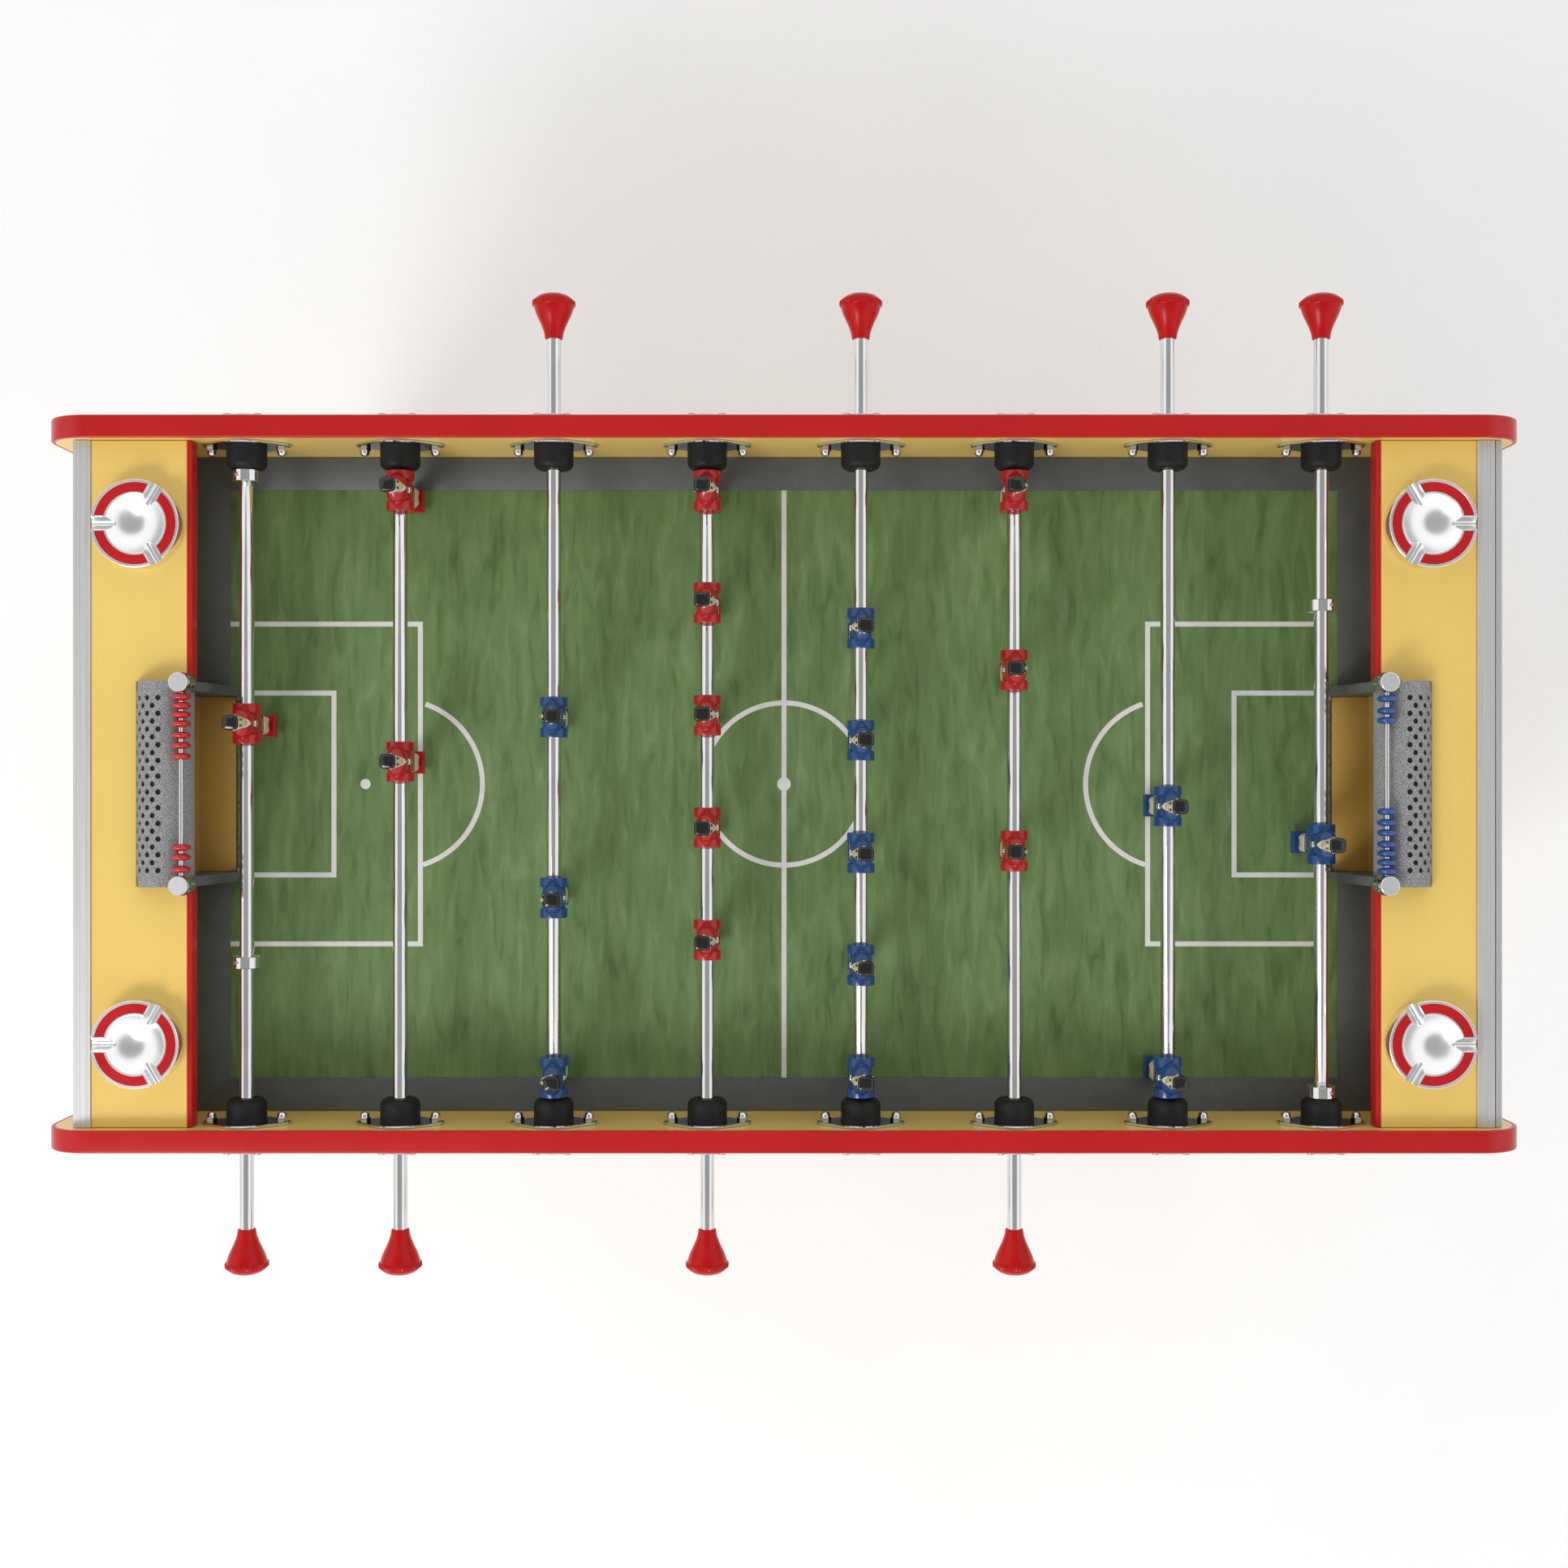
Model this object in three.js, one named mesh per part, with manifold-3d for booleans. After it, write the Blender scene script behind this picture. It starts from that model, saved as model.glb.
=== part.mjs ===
// Foosball table with eight telescopic rods.
// Millimetres, +Z up. X runs along the field, Y along the rods, the origin is on the floor below the centre.
import * as THREE from 'three';
import { mergeVertices } from 'three/addons/utils/BufferGeometryUtils.js';
import Module from 'manifold-3d';

const wasm = await Module();
wasm.setup();

// ---------------------------------------------------------------- driving dimensions
const GAP = 0.3;                 // clearance between neighbouring pieces
const ROUND = 14;                // sides of a turned part

const RAIL_TOP = 900;            // top edge of the side boards
const FIELD_Z = 784;             // playing surface
const ROD_Z = 863;               // axis of the rods
const BOX_BOTTOM = 640;          // underside of the table's box

const ROD_PITCH = 150;
const TUBE_R = 7;                // outer tube of a telescopic rod
const TUBE_BORE_R = 5.5;
const CORE_R = 5;                // inner rod
const TUBE_FAR_END = 328;        // measured from the centre plane, towards the far wall
const TUBE_NEAR_END = 455;       // inside the handle
const TUBE_BORE_END = 140;
const CORE_TIP = 110;
const COLLAR_R = 13.5;
const COLLAR_LENGTH = 11.6;

const SIDE_INNER = 332;          // inner face of a side board
const SIDE_OUTER = 354;
const SIDE_HALF_LENGTH = 716;
const SIDE_TOP_RADIUS = 45;
const SIDE_BOTTOM_RADIUS = 18;
const BUMPER_R = 19.3;
const BUMPER_NOSE = 306.5;
const ROD_HOLE_R = 7.4;
const CORE_HOLE_R = 5.6;
const FLANGE_OUT = 360;          // outer face of the outside flange
const CORE_HEAD_R = 7.2;

const FIELD_HALF_X = 597;
const FIELD_HALF_Y = SIDE_INNER - GAP;
const FIELD_THICK = 18;
const BORDER_WIDTH = 32;
const BORDER_RISE = 8;

const SHELF_TOP = 884;
const SHELF_THICK = 18;
const SHELF_INNER_X = 572;
const FRONT_PANEL_OUT_X = 694;   // the front end panel stands out past the trim, the back one is flush with it
const BACK_PANEL_OUT_X = 686.5;
const END_PANEL_THICK = 18;
const TRIM_INNER_X = 669.5;      // start of the aluminium trim on a shelf
const TRIM_RISE = 1.5;
const TRIM_OUTER_X = 686.5;
const ASHTRAY_X = 620.6;
const ASHTRAY_Y = 249.2;
const ASHTRAY_R = 42.5;
const ASHTRAY_HEIGHT = 20;

const GOAL_HALF = 89;            // inner face of a goal cheek
const CHEEK_THICK = 9.6;
const CHEEK_FRONT_X = 553;
const CHEEK_TOP = 897;
const CHEEK_TOP_X = 566;          // the front edge leans back to here
const DOME_X = 597.8;
const DOME_Z = 880;
const DOME_R = 27.3;
const DOME_WALL = 2.5;

const SCORE_X = 574;
const SCORE_Z = 909;
const POST_Y = 96.7;
const POST_R = 9.75;
const POST_TOP = 920;
const WIRE_R = 2.25;
const BEAD_R = 9;
const BEAD_RIM_R = 6.6;
const BEAD_LENGTH = 7;
const PARKED_BEADS = [83, 74.6, 66, 57.3, 46.4, 36.7, -60.5, -69.6, -81.1];
const NEXT_BEAD = 26.2;

const PLAYER_SLEEVE_R = 13.5;
const PLAYER_SLEEVE_LENGTH = 39.2;
const HANDLE_START = 434.5;

const LEG_X = 632;
const LEG_Y = 286;
const LEG_TOP_HALF = 38;
const LEG_FOOT_HALF = 24;
const CROSS_HEIGHT = 70;
const LEVELLER_R = 26;
const LEVELLER_HEIGHT = 24;

// side: where the handle is, -1 for the red team and +1 for the blue team.
// players: distance from the centre plane, counted towards the far wall.
const RODS = [
  { side: -1, players: [58.8], collars: [300.4, -174] },
  { side: -1, players: [286.2, 21.7] },
  { side: 1, players: [286.2, 111, -65] },
  { side: -1, players: [286.2, 176.6, 67.1, -42.4, -151.9] },
  { side: 1, players: [286.2, 176.6, 67.1, -42.4, -151.9] },
  { side: -1, players: [286.2, 111, -65] },
  { side: 1, players: [286.2, 21.7] },
  { side: 1, players: [58.8], collars: [300.4, -174] },
];

// ---------------------------------------------------------------- materials
const finish = (color, roughness, metalness) => new THREE.MeshStandardMaterial({ color, roughness, metalness });
const CHROME = finish(0xd2d4d6, 0.15, 1);
const STEEL = finish(0xa9acae, 0.3, 1);
const YELLOW = finish(0xecca72, 0.35, 0);
const GREEN = finish(0x52693a, 0.6, 0);
const GREY = finish(0x55565a, 0.5, 0.2);
const HANDLE_RED = finish(0xcd140f, 0.15, 0);
const TEAM_RED = finish(0xc0201c, 0.3, 0);
const TEAM_BLUE = finish(0x234b87, 0.3, 0);
const WOOD = finish(0xb98a4e, 0.5, 0);
const BEAD_RED = finish(0xc81e1a, 0.3, 0);
const BEAD_BLUE = finish(0x2757a0, 0.3, 0);

// ---------------------------------------------------------------- geometry helpers
function toSolid(geometry) {
  const bare = geometry.clone();
  bare.deleteAttribute('normal');
  bare.deleteAttribute('uv');
  const merged = mergeVertices(bare, 1e-4);
  const corners = merged.index.array;
  const kept = [];
  for (let i = 0; i < corners.length; i += 3) {
    const [a, b, c] = [corners[i], corners[i + 1], corners[i + 2]];
    if (a !== b && b !== c && c !== a) {
      kept.push(a, b, c);
    }
  }
  const mesh = new wasm.Mesh({
    numProp: 3,
    vertProperties: new Float32Array(merged.attributes.position.array),
    triVerts: new Uint32Array(kept),
  });
  return new wasm.Manifold(mesh);
}

function toGeometry(solid) {
  const mesh = solid.getMesh();
  const geometry = new THREE.BufferGeometry();
  geometry.setAttribute('position', new THREE.BufferAttribute(new Float32Array(mesh.vertProperties), 3));
  geometry.setIndex(new THREE.BufferAttribute(new Uint32Array(mesh.triVerts), 1));
  geometry.computeVertexNormals();
  return geometry;
}

function join(solids) {
  return solids.reduce((whole, next) => whole.add(next));
}

function block(x0, x1, y0, y1, z0, z1) {
  const geometry = new THREE.BoxGeometry(x1 - x0, y1 - y0, z1 - z0);
  geometry.translate((x0 + x1) / 2, (y0 + y1) / 2, (z0 + z1) / 2);
  return toSolid(geometry);
}

// A cylinder along Y from y0 to y1.
function barrel(radius, y0, y1, x, z, segments = ROUND) {
  const geometry = new THREE.CylinderGeometry(radius, radius, y1 - y0, segments);
  geometry.translate(x, (y0 + y1) / 2, z);
  return toSolid(geometry);
}

// A cylinder standing along Z.
function pillar(bottomRadius, topRadius, z0, z1, x, y, segments = 20) {
  const geometry = new THREE.CylinderGeometry(topRadius, bottomRadius, z1 - z0, segments);
  geometry.rotateX(Math.PI / 2);
  geometry.translate(x, y, (z0 + z1) / 2);
  return toSolid(geometry);
}

// A turned solid about the Y axis. The profile is (radius, y) with y rising, closed on the axis.
function turned(profile, segments = ROUND) {
  const points = profile.map(([r, y]) => new THREE.Vector2(r, y));
  return toSolid(new THREE.LatheGeometry(points, segments));
}

function outline(points) {
  return new THREE.Shape(points.map(([a, b]) => new THREE.Vector2(a, b)));
}

// A shape in the XZ plane, extruded along Y from y0 to y1.
function alongY(shape, y0, y1, curveSegments = 6) {
  const geometry = new THREE.ExtrudeGeometry(shape, { depth: y1 - y0, bevelEnabled: false, curveSegments });
  geometry.rotateX(Math.PI / 2);
  geometry.translate(0, y1, 0);
  return toSolid(geometry);
}

// A shape in the YZ plane, extruded along X from x0 to x1.
function alongX(shape, x0, x1) {
  const geometry = new THREE.ExtrudeGeometry(shape, { depth: x1 - x0, bevelEnabled: false });
  const axes = new THREE.Matrix4().makeBasis(
    new THREE.Vector3(0, 1, 0), new THREE.Vector3(0, 0, 1), new THREE.Vector3(1, 0, 0));
  geometry.applyMatrix4(axes);
  geometry.translate(x0, 0, 0);
  return toSolid(geometry);
}

function part(name, solid, material) {
  const mesh = new THREE.Mesh(toGeometry(solid), material);
  mesh.name = name;
  return mesh;
}

const rodX = (index) => (index - 3.5) * ROD_PITCH;

// ---------------------------------------------------------------- rods
// Every rod piece is made with its far wall towards +Y, and turned round for a handle on that side.
function makeTube(rod) {
  const near = -TUBE_NEAR_END;
  const profile = [[0, near], [TUBE_R, near]];
  const collars = [...(rod.collars ?? [])].sort((a, b) => a - b);
  for (const y of collars) {
    const [from, to] = [y - COLLAR_LENGTH / 2, y + COLLAR_LENGTH / 2];
    profile.push([TUBE_R, from], [COLLAR_R, from], [COLLAR_R, to], [TUBE_R, to]);
  }
  profile.push([TUBE_R, TUBE_FAR_END], [TUBE_BORE_R, TUBE_FAR_END]);
  profile.push([TUBE_BORE_R, -TUBE_BORE_END], [0, -TUBE_BORE_END]);
  return turned(profile);
}

function makeCore() {
  const head = FLANGE_OUT - 3;
  return turned([
    [0, -CORE_TIP], [CORE_R, -CORE_TIP], [CORE_R, head + GAP],
    [CORE_HEAD_R, head + GAP], [CORE_HEAD_R, FLANGE_OUT], [0, FLANGE_OUT],
  ], 12);
}

// The handle's profile runs from the outer cap to the neck, where the tube goes in.
function makeHandle() {
  const bore = TUBE_R + GAP;
  const socket = TUBE_NEAR_END - HANDLE_START + 1;
  const steps = [
    [0, 44.2], [12, 42.8], [18.6, 38.8], [21, 37], [21, 32.2],
    [18.2, 27], [12.8, 15], [9, 5], [8.6, 0], [bore, 0], [bore, socket], [0, socket],
  ];
  return turned(steps.map(([r, depth]) => [r, -HANDLE_START - depth]));
}

// A foosball man hanging from the rod, facing +X, centred on the rod's axis.
function makePlayer() {
  const side = outline([
    [-11, 29], [-11, 44], [-7.8, 47.5], [2.5, 47.5], [4.8, 44], [8.4, 34], [8.4, 27], [10, 21], [10, 10], [9, 3], [9, -27],
    [10, -29], [10, -41], [5, -44], [5, -58], [10, -61], [10, -72], [-6, -72], [-6, -44], [-9, -41], [-9.4, 3],
    [-10.8, 10], [-10.8, 21], [-6, 27],
  ]);
  const front = outline([
    [-7.2, 47.5], [-7.2, 27], [-15.4, 20], [-15.4, 9], [-13, 2], [-10.5, -27], [-9.3, -44], [-9.3, -57], [-11.2, -61],
    [-11.2, -72], [11.2, -72], [11.2, -61], [9.3, -57], [9.3, -44], [10.5, -27], [13, 2], [15.4, 9], [15.4, 20],
    [7.2, 27], [7.2, 47.5],
  ]);
  const figure = alongY(side, -20, 20).intersect(alongX(front, -15, 15));
  const half = PLAYER_SLEEVE_LENGTH / 2;
  return figure
    .add(barrel(PLAYER_SLEEVE_R, -half, half, 0, 0))
    .subtract(barrel(TUBE_R + GAP, -half - 1, half + 1, 0, 0));
}

// ---------------------------------------------------------------- side boards
function roundedBoard() {
  const [h, low, high] = [SIDE_HALF_LENGTH, BOX_BOTTOM, RAIL_TOP];
  const [r, s] = [SIDE_TOP_RADIUS, SIDE_BOTTOM_RADIUS];
  const shape = new THREE.Shape();
  shape.moveTo(-h + s, low);
  shape.lineTo(h - s, low);
  shape.absarc(h - s, low + s, s, -Math.PI / 2, 0, false);
  shape.lineTo(h, high - r);
  shape.absarc(h - r, high - r, r, 0, Math.PI / 2, false);
  shape.lineTo(-h + r, high);
  shape.absarc(-h + r, high - r, r, Math.PI / 2, Math.PI, false);
  shape.lineTo(-h, low + s);
  shape.absarc(-h + s, low + s, s, Math.PI, Math.PI * 1.5, false);
  return alongY(shape, SIDE_INNER, SIDE_OUTER);
}

// A round plate with two ears, seen along Y.
function earedPlate(x, radius, earX, earRadius, y0, y1) {
  const shape = new THREE.Shape();
  const lean = Math.acos((radius - earRadius) / earX);
  shape.absarc(x, ROD_Z, radius, lean, Math.PI - lean, false);
  shape.absarc(x - earX, ROD_Z, earRadius, Math.PI - lean, Math.PI + lean, false);
  shape.absarc(x, ROD_Z, radius, Math.PI + lean, 2 * Math.PI - lean, false);
  shape.absarc(x + earX, ROD_Z, earRadius, -lean, lean, false);
  return alongY(shape, y0, y1, 3);
}

// A square flange with four rounded lobes.
function lobedPlate(x, y0, y1) {
  const points = [];
  for (let i = 0; i < 16; i += 1) {
    const angle = (i / 16) * 2 * Math.PI;
    const r = 23.5 - 3.5 * Math.cos(4 * angle);
    points.push([x + r * Math.cos(angle), ROD_Z + r * Math.sin(angle)]);
  }
  return alongY(outline(points), y0, y1);
}

function makeBearing(x) {
  const bumper = turned([
    [0, BUMPER_NOSE], [14.5, BUMPER_NOSE], [BUMPER_R, BUMPER_NOSE + 6], [BUMPER_R, SIDE_INNER + 1], [0, SIDE_INNER + 1],
  ]).translate([x, 0, ROD_Z]);
  return join([
    bumper,
    earedPlate(x, 30, 34.5, 8.5, SIDE_INNER - 2.8, SIDE_INNER + 1),
    lobedPlate(x, SIDE_OUTER - 1, FLANGE_OUT),
  ]);
}

// The board on the +Y side. A rod with its handle here passes through, the others are held by their core.
function makeSideBoard() {
  let board = roundedBoard();
  RODS.forEach((rod, index) => {
    board = board.add(makeBearing(rodX(index)));
  });
  RODS.forEach((rod, index) => {
    const x = rodX(index);
    if (rod.side > 0) {
      board = board.subtract(barrel(ROD_HOLE_R, BUMPER_NOSE - 5, FLANGE_OUT + 5, x, ROD_Z));
    } else {
      board = board
        .subtract(barrel(ROD_HOLE_R, BUMPER_NOSE - 5, SIDE_INNER - 1, x, ROD_Z))
        .subtract(barrel(CORE_HOLE_R, SIDE_INNER - 2, FLANGE_OUT - 2, x, ROD_Z))
        .subtract(barrel(CORE_HEAD_R + 0.4, FLANGE_OUT - 3, FLANGE_OUT + 5, x, ROD_Z));
    }
  });
  return board;
}

// ---------------------------------------------------------------- playing field
function makePlayfield() {
  const [hx, hy] = [FIELD_HALF_X, FIELD_HALF_Y];
  const low = FIELD_Z - FIELD_THICK;
  const ramp = (edge) => outline([
    [edge - BORDER_WIDTH, FIELD_Z - 2], [edge, FIELD_Z - 2],
    [edge, FIELD_Z + BORDER_RISE], [edge - BORDER_WIDTH, FIELD_Z + 1],
  ]);
  const longSide = alongX(ramp(hy), -hx, hx);
  const goalSide = GOAL_HALF + CHEEK_THICK + 2 * GAP;
  const endPair = alongY(ramp(hx), goalSide, hy).add(alongY(ramp(hx), -hy, -goalSide));
  const mouth = block(CHEEK_FRONT_X + 6, hx + 1, -GOAL_HALF, GOAL_HALF, low - 1, FIELD_Z + 1);
  return join([block(-hx, hx, -hy, hy, low, FIELD_Z), longSide, longSide.rotate([0, 0, 180]),
    endPair, endPair.rotate([0, 0, 180])])
    .subtract(mouth)
    .subtract(mouth.rotate([0, 0, 180]));
}

// ---------------------------------------------------------------- end cabinets, made for the +X end
function makeAshtray(y) {
  const bowl = toSolid(new THREE.LatheGeometry([
    [0, -2], [40, -2], [ASHTRAY_R - 1, 1], [ASHTRAY_R, ASHTRAY_HEIGHT - 3], [ASHTRAY_R - 2, ASHTRAY_HEIGHT],
    [28.5, ASHTRAY_HEIGHT], [24, 9], [14, 4], [0, 3],
  ].map(([r, z]) => new THREE.Vector2(r, z)), 20).rotateX(Math.PI / 2));
  let tray = bowl;
  for (const angle of [0, 120, 240]) {
    const groove = new THREE.CylinderGeometry(5.5, 5.5, 30, 8);
    groove.rotateZ(Math.PI / 2);
    groove.translate(36, 0, ASHTRAY_HEIGHT + 1);
    groove.rotateZ(THREE.MathUtils.degToRad(angle));
    tray = tray.subtract(toSolid(groove));
  }
  return tray.translate([ASHTRAY_X, y, SHELF_TOP]);
}

function makeEndCabinet(panelOut) {
  const hy = FIELD_HALF_Y;
  const wallX = FIELD_HALF_X + GAP;
  const wallOut = wallX + 15;
  const panelIn = panelOut - END_PANEL_THICK;
  const shelfLow = SHELF_TOP - SHELF_THICK;
  const goalSide = GOAL_HALF + CHEEK_THICK + 2 * GAP;
  const shelf = block(SHELF_INNER_X, panelOut, -hy, hy, shelfLow, SHELF_TOP)
    .add(block(TRIM_INNER_X, TRIM_OUTER_X, -hy, hy, shelfLow, SHELF_TOP + TRIM_RISE))
    .subtract(block(SHELF_INNER_X - 1, DOME_X + DOME_R + 2 * GAP, -goalSide, goalSide, shelfLow - 1, SHELF_TOP + 1));
  const innerWall = block(wallX, wallOut, -hy, hy, BOX_BOTTOM, shelfLow)
    .subtract(block(wallX - 1, wallOut + 1, -goalSide, goalSide, FIELD_Z, shelfLow + 1));
  const goalFloor = block(CHEEK_FRONT_X + 6 + GAP, wallX + 1, -GOAL_HALF + GAP, GOAL_HALF - GAP, FIELD_Z - 14, FIELD_Z);
  const goalBack = block(650, 660, -108, 108, 770, shelfLow + 1);
  const endPanel = block(panelIn, panelOut, -hy, hy, BOX_BOTTOM, shelfLow)
    .subtract(block(panelIn - 1, panelOut + 1, -90, 90, 708, 768));
  const floor = block(wallX, panelIn + 1, -hy, hy, BOX_BOTTOM, BOX_BOTTOM + 15);
  const chute = alongY(outline([
    [wallX + 1, 752], [wallX + 1, 742], [686, 699], [714, 699], [714, 717], [708, 717], [708, 708], [686, 708],
  ]), -98, 98);
  const chuteSides = [-1, 1].map((side) => block(
    wallX + 1, panelIn + 1, Math.min(side * 97, side * 108), Math.max(side * 97, side * 108), 690, FIELD_Z - 1));
  const trays = [-1, 1].map((side) => makeAshtray(side * ASHTRAY_Y));
  return join([shelf, innerWall, goalFloor, goalBack, endPanel, floor, chute, ...chuteSides, ...trays]);
}

// ---------------------------------------------------------------- goals and score rails, made for the +X end
function makeGoalCage() {
  const rear = DOME_X + DOME_R;
  const foot = FIELD_Z + GAP;
  const cheekShape = outline([[CHEEK_FRONT_X, foot], [rear, foot], [rear, CHEEK_TOP], [CHEEK_TOP_X, CHEEK_TOP]]);
  const cheeks = [-1, 1].map((side) => {
    const near = side * GOAL_HALF;
    const far = side * (GOAL_HALF + CHEEK_THICK);
    return alongY(cheekShape, Math.min(near, far), Math.max(near, far));
  });
  const shape = new THREE.Shape();
  shape.absarc(DOME_X, DOME_Z, DOME_R, 0, Math.PI, false);
  shape.absarc(DOME_X, DOME_Z, DOME_R - DOME_WALL, Math.PI, 0, true);
  const end = GOAL_HALF + CHEEK_THICK;
  const dome = alongY(shape, -end, end, 12);
  const sill = block(CHEEK_FRONT_X, CHEEK_FRONT_X + 4.5, -GOAL_HALF - 1, GOAL_HALF + 1, FIELD_Z + GAP, FIELD_Z + 1.8);
  const posts = [-POST_Y, POST_Y].map((y) => pillar(POST_R + GAP, POST_R + GAP, CHEEK_TOP, POST_TOP, SCORE_X, y, ROUND));
  return join([...cheeks, dome, sill]).subtract(join(posts));
}

function makeScoreRail() {
  const posts = [-POST_Y, POST_Y].map((y) => pillar(POST_R, POST_R, CHEEK_TOP + GAP, POST_TOP - 1.5, SCORE_X, y, ROUND)
    .add(pillar(POST_R, POST_R - 1.5, POST_TOP - 1.6, POST_TOP, SCORE_X, y, ROUND)));
  const wire = barrel(WIRE_R, -POST_Y, POST_Y, SCORE_X, SCORE_Z, 10);
  const beads = PARKED_BEADS.map((y) => makeBead().translate([SCORE_X, -y, SCORE_Z]));
  return join([...posts, wire, ...beads]);
}

function makeBead() {
  const half = BEAD_LENGTH / 2;
  return turned([[0, -half], [BEAD_RIM_R, -half], [BEAD_R, 0], [BEAD_RIM_R, half], [0, half]]);
}

function makeNextBead() {
  return makeBead()
    .subtract(barrel(WIRE_R + 0.4, -BEAD_LENGTH, BEAD_LENGTH, 0, 0, 12))
    .translate([SCORE_X, -NEXT_BEAD, SCORE_Z]);
}

// ---------------------------------------------------------------- legs, made for the +X end
function makeLegFrame() {
  const top = BOX_BOTTOM - GAP;
  const legs = [-LEG_Y, LEG_Y].map((y) => {
    const taper = new THREE.CylinderGeometry(LEG_TOP_HALF * Math.SQRT2, LEG_FOOT_HALF * Math.SQRT2,
      top - LEVELLER_HEIGHT + 4, 4);
    taper.rotateY(Math.PI / 4);
    taper.rotateX(Math.PI / 2);
    taper.translate(LEG_X, y, (top + LEVELLER_HEIGHT - 4) / 2);
    return toSolid(taper).add(pillar(LEVELLER_R, LEVELLER_R, 0, LEVELLER_HEIGHT, LEG_X, y));
  });
  const cross = block(LEG_X - 16, LEG_X + 16, -LEG_Y, LEG_Y, top - CROSS_HEIGHT, top);
  return join([...legs, cross]);
}

// ---------------------------------------------------------------- scene graph
const table = new THREE.Group();

RODS.forEach((rod, index) => {
  const number = index + 1;
  const group = new THREE.Group();
  group.position.set(rodX(index), 0, ROD_Z);
  group.rotation.z = rod.side > 0 ? Math.PI : 0;
  group.add(part(`rod_${number}_tube`, makeTube(rod), CHROME));
  group.add(part(`rod_${number}_core`, makeCore(), STEEL));
  group.add(part(`rod_${number}_handle`, makeHandle(), HANDLE_RED));
  rod.players.forEach((y, place) => {
    const player = part(`player_${number}_${place + 1}`, makePlayer(), rod.side < 0 ? TEAM_RED : TEAM_BLUE);
    player.position.set(0, y, 0);
    group.add(player);
  });
  table.add(group);
});

// Each pair is the same piece on opposite sides of the table, the second one turned half round.
function addPair(names, solids, materials) {
  names.forEach((name, turn) => {
    const mesh = part(name, solids[turn % solids.length], materials[turn % materials.length]);
    mesh.rotation.z = turn * Math.PI;
    table.add(mesh);
  });
}

const endCabinets = [makeEndCabinet(FRONT_PANEL_OUT_X), makeEndCabinet(BACK_PANEL_OUT_X)];
addPair(['side_board_right', 'side_board_left'], [makeSideBoard()], [YELLOW]);
addPair(['end_cabinet_front', 'end_cabinet_back'], endCabinets, [YELLOW]);
addPair(['goal_cage_front', 'goal_cage_back'], [makeGoalCage()], [GREY]);
addPair(['score_rail_front', 'score_rail_back'], [makeScoreRail()], [BEAD_BLUE, BEAD_RED]);
addPair(['score_bead_front', 'score_bead_back'], [makeNextBead()], [BEAD_BLUE, BEAD_RED]);
addPair(['leg_frame_front', 'leg_frame_back'], [makeLegFrame()], [WOOD]);
table.add(part('playfield', makePlayfield(), GREEN));

export default table;
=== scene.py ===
import math

import bmesh
import bpy
from mathutils import Matrix, Vector


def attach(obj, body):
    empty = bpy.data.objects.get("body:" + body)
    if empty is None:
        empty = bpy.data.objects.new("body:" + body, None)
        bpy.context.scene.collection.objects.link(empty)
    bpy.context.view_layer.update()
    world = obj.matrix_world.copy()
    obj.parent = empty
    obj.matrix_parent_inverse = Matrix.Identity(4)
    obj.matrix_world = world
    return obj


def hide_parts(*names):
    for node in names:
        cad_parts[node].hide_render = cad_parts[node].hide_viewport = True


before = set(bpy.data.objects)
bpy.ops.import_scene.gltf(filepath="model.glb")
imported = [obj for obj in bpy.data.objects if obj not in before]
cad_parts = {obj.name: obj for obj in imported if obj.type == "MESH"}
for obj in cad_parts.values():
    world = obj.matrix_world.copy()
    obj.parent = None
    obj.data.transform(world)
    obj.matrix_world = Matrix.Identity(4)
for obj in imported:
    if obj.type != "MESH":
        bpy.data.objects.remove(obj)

MM = 0.001
scene = bpy.context.scene
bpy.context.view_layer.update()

# ---- sizes, in millimetres
ROD_Z = 863             # axis of the rods
PITCH = 150             # from one rod to the next
RAIL_TOP = 900
FIELD_Z = 784           # playing surface
BOX_BOTTOM = 640
SIDE_IN = 332           # inner and outer face of a side board
SIDE_OUT = 354
INSIDE_Y = SIDE_IN - 0.3
HALF_LENGTH = 716
SHELF_TOP = 884
SHELF_LOW = SHELF_TOP - 18
FRONT_OUT = 694         # outer faces of the two end panels
BACK_OUT = 686.5
PANEL = 18              # thickness of an end panel
TRIM_X = 669.5
TRIM_OUT = 686.5
SHELF_X = 572           # front of the shelves
LIP = 4.8               # depth of the red lip on it
WALL_X = 597.3          # inner end wall
WALL = 15
GOAL_HALF = 89          # half of the goal's width
CHEEK = 9.6             # thickness of a goal's side wall
GOAL_SIDE = GOAL_HALF + CHEEK + 0.6
CHEEK_TOP = (566, 897)
BESIDE_GOAL = ((GOAL_SIDE, INSIDE_Y), (-INSIDE_Y, -GOAL_SIDE))
CAGE_X = 553            # front of the goal
DOME_X = 597.8
DOME_Z = 880
DOME_R = 27.3
SCORE_X = 574
SCORE_Z = 909
POST_Y = 96.7
ASHTRAY = (620.6, 249.2)
LEG = (632, 286)
BORDER_WIDTH = 32
LINE_WIDTH = 5.1
PARKED = [83, 74.6, 66, 57.3, 46.4, 36.7, -60.5, -69.6, -81.1]
NEXT = 26.2             # the bead that slides next
# each rod's handle side, and its players' places along it
RODS = [
    (-1, [58.8]),
    (-1, [286.2, 21.7]),
    (1, [286.2, 111, -65]),
    (-1, [286.2, 176.6, 67.1, -42.4, -151.9]),
    (1, [286.2, 176.6, 67.1, -42.4, -151.9]),
    (-1, [286.2, 111, -65]),
    (1, [286.2, 21.7]),
    (1, [58.8]),
]
COLLARS = [300.4, -174]
HANDS = (("right", 1), ("left", -1))
RESTS = (0, 120, 240)   # of an ashtray, in degrees


def rod_x(index):
    return (index - 3.5) * PITCH


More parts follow.
